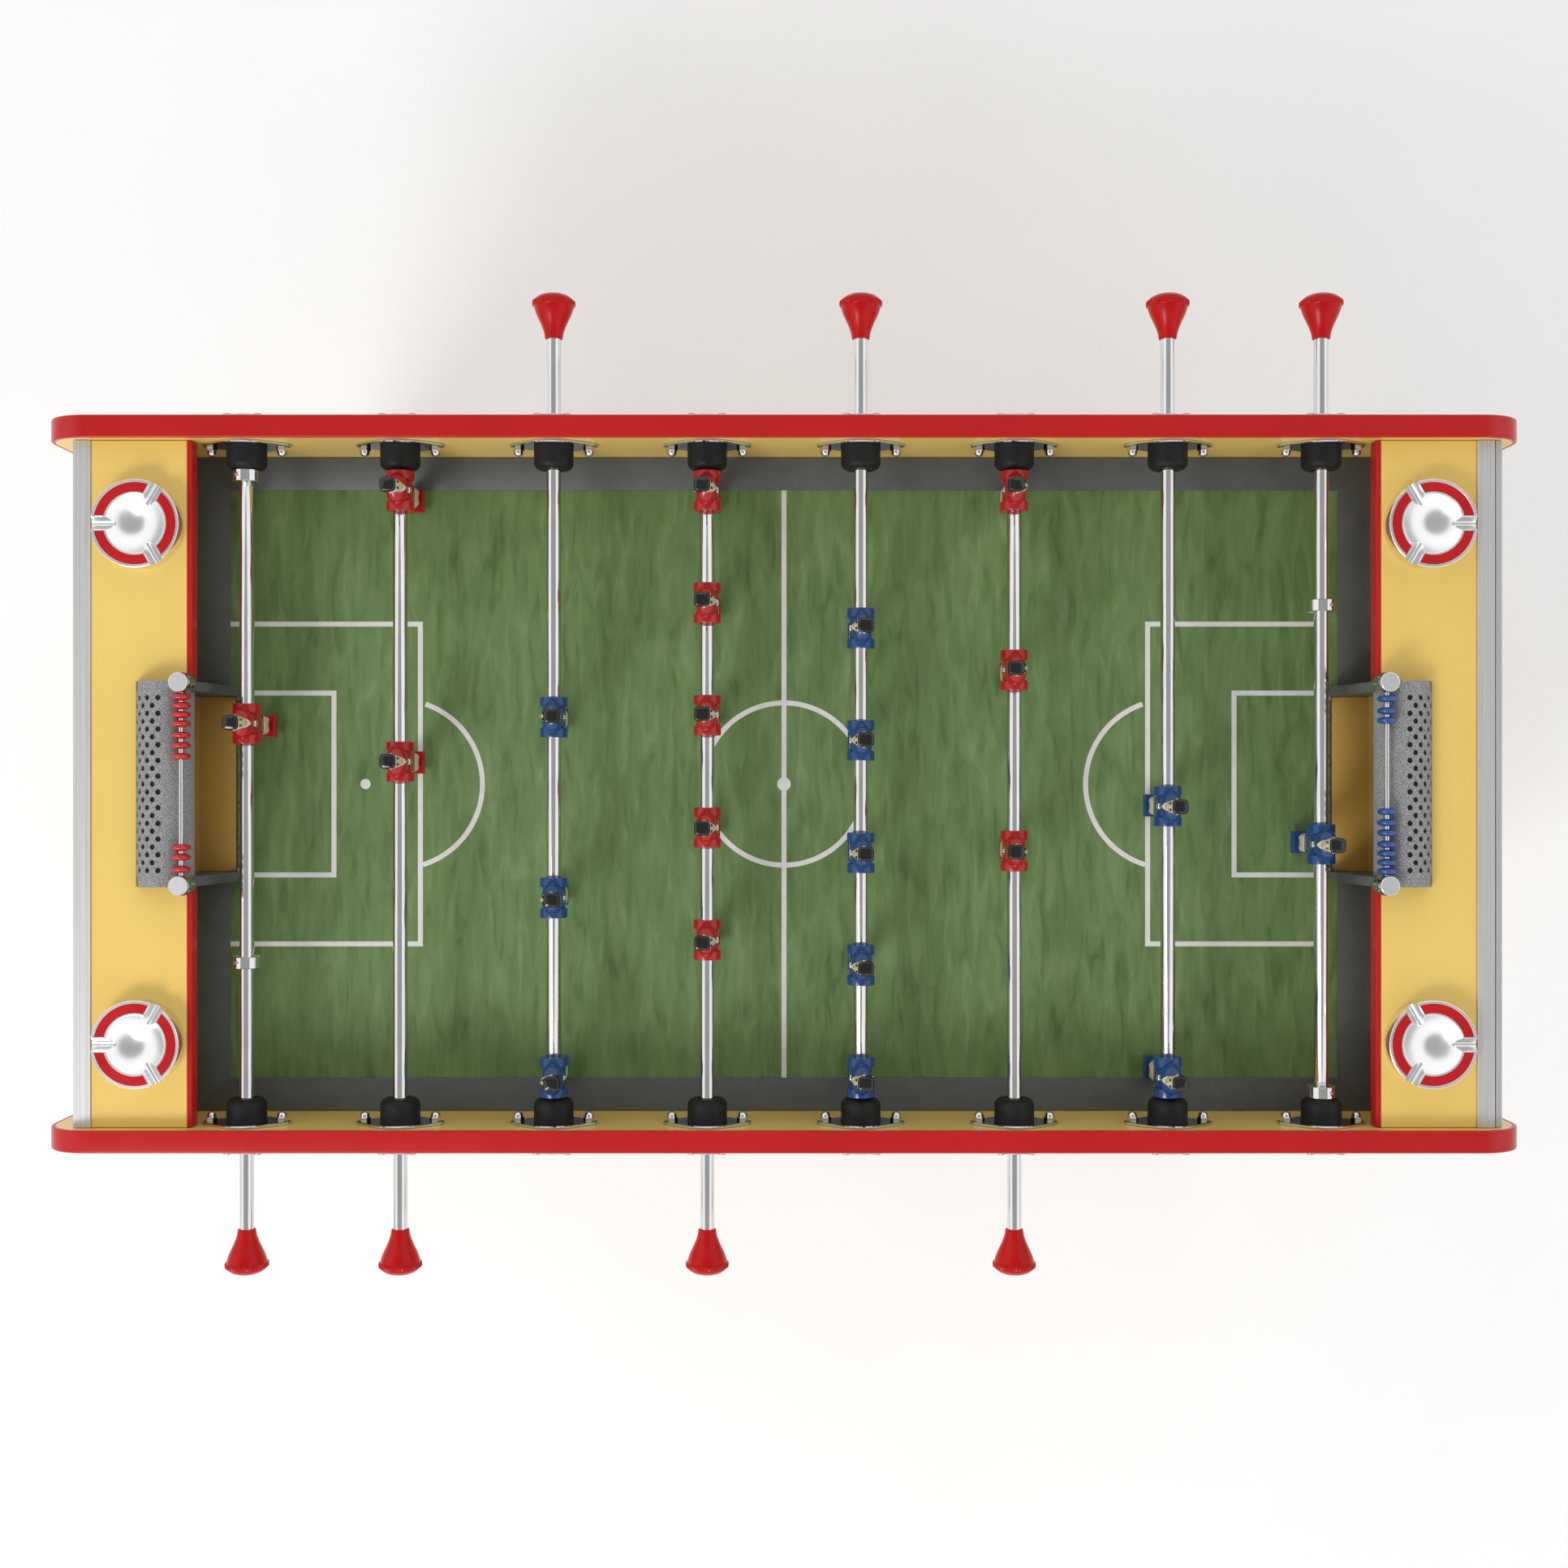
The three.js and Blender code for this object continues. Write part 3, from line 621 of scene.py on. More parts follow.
def player_mesh():
    """Facing +X and hanging from the rod. Slots: team colour, cream, hair, dark, chrome."""
    team, cream, hair, dark, chrome = range(5)
    shape = Shape()
    flange = [(7.15, 10.2), (12.7, 10.2), (13.5, 11.0), (13.5, 18.6), (13.2, 19.3), (12.5, 19.6),
              (7.15, 19.6)]
    for side in (-1, 1):
        shape.add(turned([(r, side * y) for r, y in flange], 56, closed=True), team)
    shape.add(turned([(7.15, -10.4), (11.0, -10.4), (11.0, 10.4), (7.15, 10.4)], 40, closed=True), team)
    shape.add(loft(TORSO, 56), team)
    for side in (-1, 1):
        shape.add(blob((-0.4, side * 14.9, 15.5), (1.3, 0.9, 1.3)), team)
    shape.add(neck_opening(), cream)
    shape.add(loft(HEAD, 40), cream)
    shape.add(loft(HAIR_SHAPE, 44, math.pi / 44), hair)
    for side in (-1, 1):
        shape.add(blob((-1.8, side * 7.0, 35.2), (1.8, 1.0, 2.6)), cream)
        shape.add(blob((6.2, side * 2.9, 37.6), (0.6, 1.15, 0.65)), dark)
        shape.add(blob((5.4, side * 2.9, 40.1), (0.6, 1.7, 0.4)), hair)
    shape.add(blob((7.6, 0, 34.4), (1.5, 0.95, 2.3)), cream)
    shape.add(blob((8.15, 0, 30.6), (0.5, 2.1, 0.4)), dark)
    shorts = [
        (-41.4, 0.4, 0, 9.0, 9.0, 4), (-40.6, 0.4, 0, 9.5, 9.3, 4), (-34, 0.3, 0, 9.5, 9.6, 4),
        (-29, 0.2, 0, 9.3, 10.0, 4), (-27.2, 0.1, 0, 9.1, 10.2, 4), (-26.4, 0, 0, 8.4, 9.6, 4)]
    shape.add(loft(shorts, 44), cream)
    for side in (-1, 1):
        y = side * 4.9
        hem = [(-42.4, 0.7, y, 8.6, 4.2, 2.6), (-41.6, 0.7, y, 9.3, 4.6, 2.6),
               (-36, 0.6, y, 9.3, 4.7, 2.6), (-33, 0.3, y, 8.2, 4.4, 2.4)]
        shape.add(loft(hem, 32), cream)
        leg = [(-63, 0.2, y, 5.0, 4.4, 2.4), (-56, 0, y, 4.9, 4.3, 2.3), (-49, 0.2, y, 5.8, 4.7, 2.3),
               (-44, 0.4, y, 5.6, 4.6, 2.3), (-40, 0.4, y, 6.2, 4.7, 2.3)]
        shape.add(loft(leg, 28), cream)
        sock = [(-63, 0.2, y, 5.4, 4.7, 2.4), (-54.5, 0.1, y, 5.4, 4.7, 2.4), (-53.8, 0.1, y, 6.2, 5.1, 2.4),
                (-51.4, 0.2, y, 6.4, 5.2, 2.4), (-50.8, 0.2, y, 5.6, 4.7, 2.4)]
        shape.add(loft(sock, 28), team)
    boots = prism([(-5.6, -72), (9.8, -72), (10.3, -71.2), (10.3, -61.8), (9.4, -60.8), (-5.0, -60.4),
                   (-6, -61.6), (-6, -71.4)], -11.2, 11.2)
    shape.add(soften(boots, 0.9, 3), team)
    shape.add(soften(box(-4.2, 9, -9.8, 9.8, -72.3, -71.4), 0.2, 1), dark)
    screw = [(0, 0), (4.1, 0), (4.1, 1.6), (3.3, 2.4), (1.6, 2.4), (1.6, 1.0), (0, 1.0)]
    front = move(9.0, 0, 5.4) @ spin(-90, "Z")
    shape.add(turned(rounded_profile(screw, 0.35, 2), 32), chrome, front)
    back = move(-9.0, 0, 5.4) @ spin(90, "Z")
    shape.add(prism(circle(0, 0, 4.6, 6), 0, 1.8, inset=0.3), chrome, back)
    shape.add(turned([(0, 1.6), (2.4, 1.6), (2.4, 2.9), (2.0, 3.3), (0, 3.3)], 20), chrome, back)
    return shape


def build_rods():
    tube = tube_mesh().mesh("tube", [CHROME])
    core = core_mesh().mesh("core", [STEEL])
    collar = collar_mesh().mesh("collar", [CHROME])
    handle = handle_mesh().mesh("handle", [HANDLE])
    figure = player_mesh()
    men = {side: figure.mesh(f"man_{side}", [colour, CREAM, HAIR, DARK, CHROME], 40)
           for side, colour in ((-1, RED_TEAM), (1, BLUE_TEAM))}
    for index, (side, places) in enumerate(RODS):
        number = index + 1
        frame_of_rod = rod_frame(index)
        body = f"rod_{number}"
        place(f"tube_{number}", tube, body, [f"rod_{number}_tube"], frame_of_rod)
        place(f"core_rod_{number}", core, f"core_{number}", [f"rod_{number}_core"], frame_of_rod)
        place(f"handle_{number}", handle, body, [f"rod_{number}_handle"], frame_of_rod)
        if len(places) == 1:
            for k, y in enumerate(COLLARS):
                place(f"collar_{number}_{k + 1}", collar, body, [f"rod_{number}_tube"],
                      frame_of_rod @ move(0, y, 0))
        for k, y in enumerate(places):
            place(f"man_{number}_{k + 1}", men[side], body, [f"player_{number}_{k + 1}"],
                  frame_of_rod @ move(0, y, 0))


# ---- side boards
def board_outline(inset=0.0, steps=14):
    """The board's outline in XZ, with rounded corners."""
    h, low, high = HALF_LENGTH - inset, BOX_BOTTOM + inset, RAIL_TOP - inset
    big, small = 45 - inset, 18 - inset
    points = []
    for cx, cz, r, start in ((h - small, low + small, small, -90), (h - big, high - big, big, 0),
                             (-h + big, high - big, big, 90), (-h + small, low + small, small, 180)):
        points.extend(arc(cx, cz, r, start, start + 90, steps))
    return points


def band_mesh():
    """The red edge band: a rounded strip swept round the board's outline."""
    corners = [(4.2, SIDE_IN + 0.3), (0, SIDE_IN), (0, SIDE_OUT), (4.2, SIDE_OUT - 0.3)]
    verts, rings = [], []
    for inset, y in rounded_profile(corners, 3.6, 6):
        ring = board_outline(inset)
        rings.append([len(verts) + i for i in range(len(ring))])
        verts.extend((x, y, z) for x, z in ring)
    return Shape().add((verts, strips(rings, closed=True)))


def bored(data, cutters, name):
    """The mesh with the cutters taken out of it."""
    target = bpy.data.objects.new(name, data)
    tool_mesh = cutters.mesh(name + "_tool", [])
    tool = bpy.data.objects.new(name + "_tool", tool_mesh)
    for obj in (target, tool):
        scene.collection.objects.link(obj)
    cut = target.modifiers.new("bore", "BOOLEAN")
    cut.object = tool
    cut.solver = "EXACT"
    evaluated = target.evaluated_get(bpy.context.evaluated_depsgraph_get())
    result = bpy.data.meshes.new_from_object(evaluated)
    for obj in (target, tool):
        bpy.data.objects.remove(obj)
    bpy.data.meshes.remove(tool_mesh)
    result.shade_smooth()
    result.set_sharp_from_angle(angle=math.radians(32))
    return result


def panel_mesh():
    """The yellow panel inside the band, bored for each rod."""
    body = prism(board_outline(2.5), SIDE_IN + 0.3, SIDE_OUT - 0.3, inset=0.2)
    low, high = SIDE_IN - 10, SIDE_OUT + 10
    holes = Shape()
    for index, (side, _) in enumerate(RODS):
        radius = 7.6 if side > 0 else 5.7
        bore = turned([(0, low), (radius, low), (radius, high), (0, high)], 32)
        holes.add(bore, 0, move(rod_x(index), 0, ROD_Z))
    return bored(Shape().add(body).mesh("panel", [YELLOW]), holes, "panel_work")


def bumper_mesh():
    """A rubber bumper with a well rounded nose."""
    nose = arc(12.3, 313.5, 7, -90, 0, 10)
    profile = [(7.4, 331), (7.4, 308), (7.9, 306.9), (8.8, 306.5)] + nose + [(19.3, 331)]
    return Shape().add(turned(profile, 72, closed=True))


def plate_mesh():
    """The inner bearing plate with its two acorn nuts."""
    reach, steps = 34.5, 12
    lean = math.degrees(math.acos((30 - 8.5) / reach))
    outer = (arc(0, 0, 30, lean, 180 - lean, steps) + arc(-reach, 0, 8.5, 180 - lean, 180 + lean, steps)
             + arc(0, 0, 30, 180 + lean, 360 - lean, steps) + arc(reach, 0, 8.5, -lean, lean, steps))
    inner = [(18.9 * x / math.hypot(x, z), 18.9 * z / math.hypot(x, z)) for x, z in outer]
    shape = Shape().add(prism(outer, SIDE_IN - 2.6, SIDE_IN + 0.2, hole=inner, inset=0.9))
    dome = arc(0, SIDE_IN - 7.9, 4.5, -78, 0, 6)
    dome = [(0, SIDE_IN - 12.4)] + dome + [(4.5, SIDE_IN - 6.6), (0, SIDE_IN - 6.6)]
    for x in (-reach, reach):
        nut = prism(circle(0, 0, 5.6, 6), SIDE_IN - 6.8, SIDE_IN - 2.4, inset=0.4)
        shape.add(nut, 0, move(x, 0, 0))
        shape.add(turned(dome, 32), 0, move(x, 0, 0))
    return shape


def flange_mesh():
    """The cast flange outside, with four lobes, a boss and four screws."""
    face = SIDE_OUT + 3
    outer = [polar(23.6 - 3.6 * math.cos(math.radians(4 * d)), d) for d in (360 * i / 64 for i in range(64))]
    shape = Shape().add(prism(outer, SIDE_OUT - 0.4, face + 0.6, hole=circle(0, 0, 7.8, 64), inset=0.9))
    boss = rounded_profile([(7.8, face), (14.5, face), (13, face + 2.9), (7.8, face + 2.9)], 0.9, 3)
    shape.add(turned(boss, 48, closed=True))
    screw = rounded_profile([(0, face + 0.4), (4, face + 0.4), (3.4, face + 2.2), (1.5, face + 2.5),
                             (1.5, face + 1.6), (0, face + 1.6)], 0.4, 2)
    for k in range(4):
        x, z = polar(21, 45 + 90 * k)
        shape.add(turned(screw, 24), 1, move(x, 0, z))
    return shape


def build_sides():
    panel = panel_mesh()
    band = band_mesh().mesh("band", [RED_EDGE])
    bumper = bumper_mesh().mesh("bumper", [RUBBER])
    plate = plate_mesh().mesh("plate", [CHROME])
    flange = flange_mesh().mesh("flange", [CAST, STEEL])
    for side, turn in SIDES:
        node = [f"side_board_{side}"]
        place(f"panel_{side}", panel, "table", node, turn)
        place(f"edge_band_{side}", band, "table", node, turn)
        for index in range(8):
            at = turn @ move(rod_x(index), 0, ROD_Z)
            number = index + 1 if side == "right" else 8 - index
            place(f"bumper_{side}_{number}", bumper, "table", node, at)
            place(f"bearing_plate_{side}_{number}", plate, "table", node, at)
            place(f"flange_{side}_{number}", flange, "table", node, at)


# ---- playing field
def field_mesh():
    x, y, cut, half = WALL_X - 0.3, INSIDE_Y, 559, GOAL_HALF
    outline = [(-x, -y), (x, -y), (x, -half), (cut, -half), (cut, half), (x, half), (x, y), (-x, y),
               (-x, half), (-cut, half), (-cut, -half), (-x, -half)]
    shape = Shape().add(prism(outline, FIELD_Z - 18, FIELD_Z - 2, "XY"), 1)
    return shape.add(prism(outline, FIELD_Z - 2, FIELD_Z, "XY"), 0)


def border_meshes():
    """Six mitred, sloping boards round the field."""
    ox, oy, goal = WALL_X - 0.3, INSIDE_Y, GOAL_SIDE
    ix, iy = ox - BORDER_WIDTH, oy - BORDER_WIDTH

    def board(outer, inner):
        verts = []
        for (a, b), rise in ((outer, 8), (inner, 1)):
            low, high = FIELD_Z + 0.02, FIELD_Z + rise
            verts += [(*a, low), (*b, low), (*b, high), (*a, high)]
        faces = [(0, 1, 2, 3), (4, 5, 6, 7), (0, 1, 5, 4), (3, 2, 6, 7), (0, 3, 7, 4), (1, 2, 6, 5)]
        return Shape().add(soften((verts, faces), 0.35, 2, 20))

    boards = {}
    for side, s in HANDS[::-1]:
        outer, inner = [(-ox, s * oy), (ox, s * oy)], [(-ix, s * iy), (ix, s * iy)]
        boards[f"border_{side}"] = board(outer, inner)
    for end, e in (("front", 1), ("back", -1)):
        for side, s in HANDS:
            outer, inner = [(e * ox, s * goal), (e * ox, s * oy)], [(e * ix, s * goal), (e * ix, s * iy)]
            boards[f"border_{end}_{side}"] = board(outer, inner)
    return boards


def stroke(points, width, closed=False, top=0.25):
    """A painted line along points, as a thin raised strip."""
    verts, faces = [], []
    n = len(points)
    for i, (x, y) in enumerate(points):
        before = Vector(points[i - 1]) if (closed or i) else None
        after = Vector(points[(i + 1) % n]) if (closed or i < n - 1) else None
        here = Vector((x, y))
        d1 = (here - before).normalized() if before is not None else (after - here).normalized()
        d2 = (after - here).normalized() if after is not None else d1
        normal = Vector((-(d1 + d2).y, (d1 + d2).x)).normalized()
        reach = width / 2 / max(0.35, normal.dot(Vector((-d1.y, d1.x))))
        for side in (-1, 1):
            for z in (FIELD_Z - 0.2, FIELD_Z + top):
                verts.append((x + normal.x * reach * side, y + normal.y * reach * side, z))
    last = n if closed else n - 1
    for i in range(last):
        a, b = 4 * i, 4 * ((i + 1) % n)
        faces += [(a + 1, b + 1, b + 3, a + 3), (a, b, b + 2, a + 2), (a, b, b + 1, a + 1),
                  (a + 2, b + 2, b + 3, a + 3)]
    if not closed:
        e = 4 * (n - 1)
        faces += [(0, 1, 3, 2), (e, e + 1, e + 3, e + 2)]
    return verts, faces


def lines_mesh():
    y = INSIDE_Y - BORDER_WIDTH
    shape = Shape().add(stroke([(0, -y), (0, y)], LINE_WIDTH))
    shape.add(stroke(circle(0, 0, 82.8, 96), LINE_WIDTH, True, 0.28))
    shape.add(prism(circle(0, 0, 7, 40), FIELD_Z - 0.2, FIELD_Z + 0.34, "XY"))
    for s in (-1, 1):
        end = 565 if s < 0 else 543
        for x, y in ((371.2, 163.2), (459.4, 92.8)):
            shape.add(stroke([(s * end, -y), (s * x, -y), (s * x, y), (s * end, y)], LINE_WIDTH))
        bow = [(s * x, y) for x, y in arc(394, 0, 86.2, 253, 109, 48)]
        shape.add(stroke(bow, LINE_WIDTH, False, 0.28))
    return shape.add(prism(circle(-427.2, 0, 5.2, 32), FIELD_Z - 0.2, FIELD_Z + 0.25, "XY"))


def build_field():
    place("field", field_mesh().mesh("field", [GREEN, PLY]), "table", ["playfield"], None)
    place("field_lines", lines_mesh().mesh("field_lines", [LINE]), "table", ["playfield"])
    for name, shape in border_meshes().items():
        place(name, shape.mesh(name, [BORDER]), "table", ["playfield"], None)


# ---- end cabinets, made for the +X end
def shelf_mesh():
    edge, cut, back = SHELF_X + LIP, DOME_X + DOME_R + 0.6, TRIM_X - 0.2
    outline = [(edge, -INSIDE_Y), (back, -INSIDE_Y), (back, INSIDE_Y), (edge, INSIDE_Y),
               (edge, GOAL_SIDE), (cut, GOAL_SIDE), (cut, -GOAL_SIDE), (edge, -GOAL_SIDE)]
    return Shape().add(prism(outline, SHELF_LOW, SHELF_TOP, "XY", inset=0.3))


def lip_mesh():
    """The red strip on the shelf's inner edge, in two lengths beside the goal."""
    edge = SHELF_X + LIP
    section = rounded_profile([(edge, SHELF_TOP - 0.2), (edge - 0.1, SHELF_TOP), (SHELF_X, SHELF_TOP),
                               (SHELF_X, SHELF_LOW), (edge, SHELF_LOW)], 1.6, 3)
    shape = Shape()
    for y0, y1 in BESIDE_GOAL:
        shape.add(prism(section, y0, y1))
    return shape


def trim_mesh(outer):
    """A ribbed aluminium profile along the outer edge, and a lower strip if the panel stands out past it."""
    top = SHELF_TOP + 1.5
    points = [(TRIM_X, SHELF_TOP - 17), (TRIM_X, top - 0.5), (TRIM_X + 0.5, top)]
    for x in (671.6, 673.1, 679.2, 682.6):
        points += [(x, top), (x + 0.2, top - 0.25), (x + 0.55, top - 0.25), (x + 0.75, top)]
    points += [(TRIM_OUT - 0.6, top), (TRIM_OUT - 0.1, top - 0.5), (TRIM_OUT - 0.1, SHELF_TOP - 17)]
    shape = Shape().add(prism(points, -INSIDE_Y, INSIDE_Y), 0)
    if outer > TRIM_OUT:
        low, high = SHELF_TOP - 17.9, SHELF_TOP - 0.3
        strip = [(TRIM_OUT, low), (TRIM_OUT, SHELF_TOP - 2), (TRIM_OUT + 1.0, SHELF_TOP - 2),
                 (TRIM_OUT + 1.3, high), (outer - 0.8, high), (outer, SHELF_TOP - 1.1), (outer, low)]
        shape.add(prism(strip, -INSIDE_Y, INSIDE_Y), 1)
    return shape


def tray_mesh(outer):
    """The ball return's chute with its lip, and the two cheeks beside it."""
    start = WALL_X + 16
    section = [(start, 744), (start, 736), (686, 699), (713.5, 699), (713.5, 716.5), (708, 716.5), (708, 708),
               (686, 708)]
    shape = Shape().add(soften(prism(section, -97, 97), 0.8, 2))
    for side in (-1, 1):
        y0, y1 = sorted((side * 97.3, side * 107.5))
        cheek = box(start - 0.7, outer - PANEL - 0.3, y0, y1, 690, FIELD_Z - 2)
        shape.add(soften(cheek, 0.6, 1))
    return shape


def ashtray_mesh():
    """A polished bowl with three rests, red enamel sectors and raised rims round them."""
    angles = sorted({(rest + a) % 360 for rest in RESTS
                     for a in [i * 0.6 for i in range(-25, 26)] + [i * 3 for i in range(6, 35)]})
    bowl = (0, 3, 6, 9, 12, 15, 17, 18.5, 19.5, 20.2, 21, 22, 23, 24, 25, 26, 27, 27.8)
    profile = [(r, 7.4 + 11.6 * (r / 27.8) ** 2) for r in bowl]
    profile += [(28.3, 19.5), (28.8, 19.7), (29.4, 19.7), (29.9, 19.3), (30.6, 19.1), (32, 19.1), (34, 19.1),
                (36, 19.1), (38, 19.1), (39.2, 19.1), (39.7, 19.4), (40.2, 19.9), (41.7, 19.9), (42.2, 19.6),
                (42.45, 18.8), (42.4, 12), (41.8, 4), (41.2, 0.4), (40, -0.4), (0, -0.4)]
    verts, rows = [], []
    for r, z in profile:
        if r == 0:
            rows.append([len(verts)] * len(angles))
            verts.append((0, 0, z))
            continue
        rows.append([len(verts) + i for i in range(len(angles))])
        for degrees in angles:
            level = z
            if 17 < r and z > 8:
                off = min(abs((degrees - rest + 180) % 360 - 180) for rest in RESTS)
                along, across = polar(r, off)
                level = min(z, 13.6 - 0.02 * (along - 20) + 0.15 * across * across)
            verts.append((*polar(r, degrees), level))
    shape = Shape().add((verts, strips(rows)), 0)

    def sector(rest, inner, outer, gap, steps=30):
        near, far = (math.degrees(math.asin(gap / radius)) for radius in (inner, outer))
        return (arc(0, 0, outer, rest + far, rest + 120 - far, steps)
                + arc(0, 0, inner, rest + 120 - near, rest + near, steps))

    for rest in RESTS:
        enamel, rim = sector(rest, 30.2, 39.4, 7.4), sector(rest, 29.5, 40.1, 6.6)
        shape.add(prism(enamel, 18.6, 19.5, "XY"), 1)
        shape.add(prism(rim, 18.4, 19.85, "XY", hole=enamel, inset=0.15), 0)
    return shape


def end_panel(outer):
    """A board across X with the ball exit in it."""
    def corners(y, z0, z1):
        return [(-y, z0), (y, z0), (y, z1), (-y, z1)]

    outline, ball_exit = corners(INSIDE_Y, BOX_BOTTOM, SHELF_LOW - 0.2), corners(90, 708.3, 768)
    return prism(outline, outer - PANEL, outer, "YZ", hole=ball_exit, inset=0.6)


def cabinet_shapes(outer):
    """Each piece's shape, materials and slot."""
    y, half, low, high = INSIDE_Y, GOAL_HALF - 0.3, BOX_BOTTOM + 15, SHELF_LOW - 0.1
    inner_wall = Shape().add(soften(box(WALL_X, WALL_X + WALL, -y, y, low + 0.2, FIELD_Z), 0.4, 1))
    for y0, y1 in BESIDE_GOAL:
        inner_wall.add(soften(box(WALL_X, WALL_X + WALL, y0, y1, FIELD_Z + 0.1, high), 0.4, 1))
    goal_floor = soften(box(559.3, WALL_X - 0.1, -half, half, FIELD_Z - 14, FIELD_Z), 0.5, 2)
    goal_back = soften(box(650, 660, -108, 108, 770, high), 0.5, 1)
    bottom = soften(box(WALL_X, outer - PANEL - 0.1, -y, y, BOX_BOTTOM, low), 0.5, 1)
    return {
        "shelf": (shelf_mesh(), [YELLOW], "yellow_laminate"),
        "shelf_lip": (lip_mesh(), [RED_EDGE], "handle_red"),
        "shelf_trim": (trim_mesh(outer), [ALUMINIUM, DULL_ALUMINIUM], "rod_steel"),
        # The inner wall, the goal's floor and its back wall take the laminate darkened with painted shade.
        "inner_wall": (inner_wall, [PAINTED_SHADE_YELLOW], "yellow_laminate"),
        "end_panel": (Shape().add(end_panel(outer)), [YELLOW], "yellow_laminate"),
        "goal_floor": (Shape().add(goal_floor), [PAINTED_SHADE_YELLOW], "yellow_laminate"),
        "goal_back": (Shape().add(goal_back), [PAINTED_SHADE_YELLOW], "yellow_laminate"),
        "box_floor": (Shape().add(bottom), [PLY], "leg_wood"),
        "ball_tray": (tray_mesh(outer), [BORDER], "goal_grey"),
    }


def build_cabinets():
    ashtray = ashtray_mesh().mesh("ashtray", [POLISHED, ENAMEL], 30)
    for end, turn, outer in ENDS:
        node = [f"end_cabinet_{end}"]
        for name, (shape, materials, slot) in cabinet_shapes(outer).items():
            place(f"{name}_{end}", shape.mesh(f"{name}_{end}", materials), "table", node, turn)
        for side, s in HANDS:
            at = turn @ move(ASHTRAY[0], s * ASHTRAY[1], SHELF_TOP)
            place(f"ashtray_{end}_{side}", ashtray, "table", node, at)


# ---- goals and score rails, made for the +X end
def dome_mesh():
    """The goal's roof: a half pipe with six staggered rows of holes on its outer half, and a near-black liner
    of painted shade under them.
    """
    step, cell, hole, count = 12.0, 7.5, 2.7, 16
    rows = [(-90 + 8.2 * i, -90 + 8.2 * (i + 1), None) for i in range(10)]
    rows += [(-8 + step * i, 4 + step * i, i) for i in range(6)]
    rows += [(64, 73, None), (73, 82, None), (82, 90, None)]
    half = GOAL_HALF + CHEEK
    edges = [-half, -92] + [-86.25 + cell * k for k in range(24)] + [92, half]
    verts, faces, index = [], [], {}

    def vertex(angle, y):
        key = (round(angle, 3), round(y, 3))
        if key not in index:
            index[key] = len(verts)
            verts.append((angle, y))
        return index[key]

    arc_mm = math.radians(1) * DOME_R       # along the roof, for each degree
    turn = (180 + 180 / count, 540 - 180 / count)
    for start, end, number in rows:
        for k, (y0, y1) in enumerate(zip(edges, edges[1:])):
            corners = [vertex(start, y0), vertex(end, y0), vertex(end, y1), vertex(start, y1)]
            middle, centre = (start + end) / 2, (y0 + y1) / 2
            slot = round(centre / cell)
            pierced = number is not None and abs(centre) < 86 and (slot % 2 != 0) == (number % 2 == 0)
            if not pierced or k in (0, 1, len(edges) - 2, len(edges) - 3):
                faces.append(corners)
                continue
            ring = [vertex(middle + x / arc_mm, centre + y) for x, y in arc(0, 0, hole, *turn, count - 1)]
            quarter = count // 4
            for q in range(4):
                corner, following = corners[q], corners[(q + 1) % 4]
                part = [ring[(q * quarter + i) % count] for i in range(quarter + 1)]
                faces.append([corner, following] + part[::-1])
    outer, inner = [], []
    for angle, y in verts:
        for layer, radius in ((outer, DOME_R), (inner, DOME_R - 1.8)):
            x, z = polar(radius, 90 - angle, DOME_X, DOME_Z)
            layer.append((x, y, z))
    n = len(outer)
    edge_use = {}
    for face in faces:
        for a, b in zip(face, face[1:] + face[:1]):
            edge_use.setdefault(frozenset((a, b)), []).append((a, b))
    walls = [[a, b, n + b, n + a] for uses in edge_use.values() if len(uses) == 1 for a, b in uses]
    shape = Shape().add((outer + inner, faces + [[n + i for i in face[::-1]] for face in faces] + walls))
    # A near-black liner under the holes, which paints the shade inside the goal.
    sheet = arc(DOME_X, DOME_Z, DOME_R - 2, 100, 10, 18) + arc(DOME_X, DOME_Z, DOME_R - 2.5, 10, 100, 18)
    return shape.add(prism(sheet, -88, 88), 1)


def cheeks_mesh():
    """The side walls of the goal, cut to the roof's outline."""
    low = FIELD_Z + 0.3
    roof = arc(DOME_X, DOME_Z, DOME_R, 0, 36, 9)
    outline = [(CAGE_X + 0.2, low), (DOME_X + DOME_R, low)] + roof + [CHEEK_TOP]
    shape = Shape()
    for side in (-1, 1):
        y0, y1 = sorted((side * GOAL_HALF, side * (GOAL_HALF + CHEEK)))
        shape.add(soften(prism(outline, y0, y1), 0.7, 3))
    return shape


def sill_mesh():
    """The strip on the field between the cheeks, with a row of oval pads and an end block each."""
    x0, x1, low = CAGE_X, CAGE_X + 4.5, FIELD_Z + 0.3
    shape = Shape().add(soften(box(x0, x1, -GOAL_HALF + 4, GOAL_HALF - 4, low, low + 1.1), 0.3, 1), 0)
    for k in range(18):
        pad = oval(CAGE_X + 2.25, (k - 8.5) * 9.3, 1.25, 3.0, 20)
        shape.add(prism(pad, low + 0.8, low + 1.6, "XY", inset=0.25), 1)
    for side in (-1, 1):
        y0, y1 = sorted((side * (GOAL_HALF - 3.6), side * (GOAL_HALF + 0.2)))
        shape.add(soften(box(x0, x1, y0, y1, low, low + 4.2), 0.5, 2), 1)
    return shape


def post_mesh():
    """A chrome post with a satin top inside a bright chamfer."""
    up = spin(90, "X")
    side = [(8.2, 919.7), (8.5, 919.95), (8.9, 919.7), (9.55, 918.7), (9.75, 918.2), (9.75, 897.6),
            (9.5, 897.3), (8.2, 897.3)]
    shape = Shape().add(turned(side, 64, closed=True), 0, up)
    return shape.add(turned([(0, 919.8), (8.1, 919.8), (8.25, 919.6), (8.25, 897.4), (0, 897.4)], 48), 1, up)


def bead_mesh():
    turns = [math.radians(a) for a in range(-84, 85, 7)]
    ring = [(2.45 + 6.55 * math.cos(t) ** 0.9, 3.5 * math.sin(t)) for t in turns]
    return Shape().add(turned([(2.45, -3.4)] + ring + [(2.45, 3.4)], 48, closed=True))


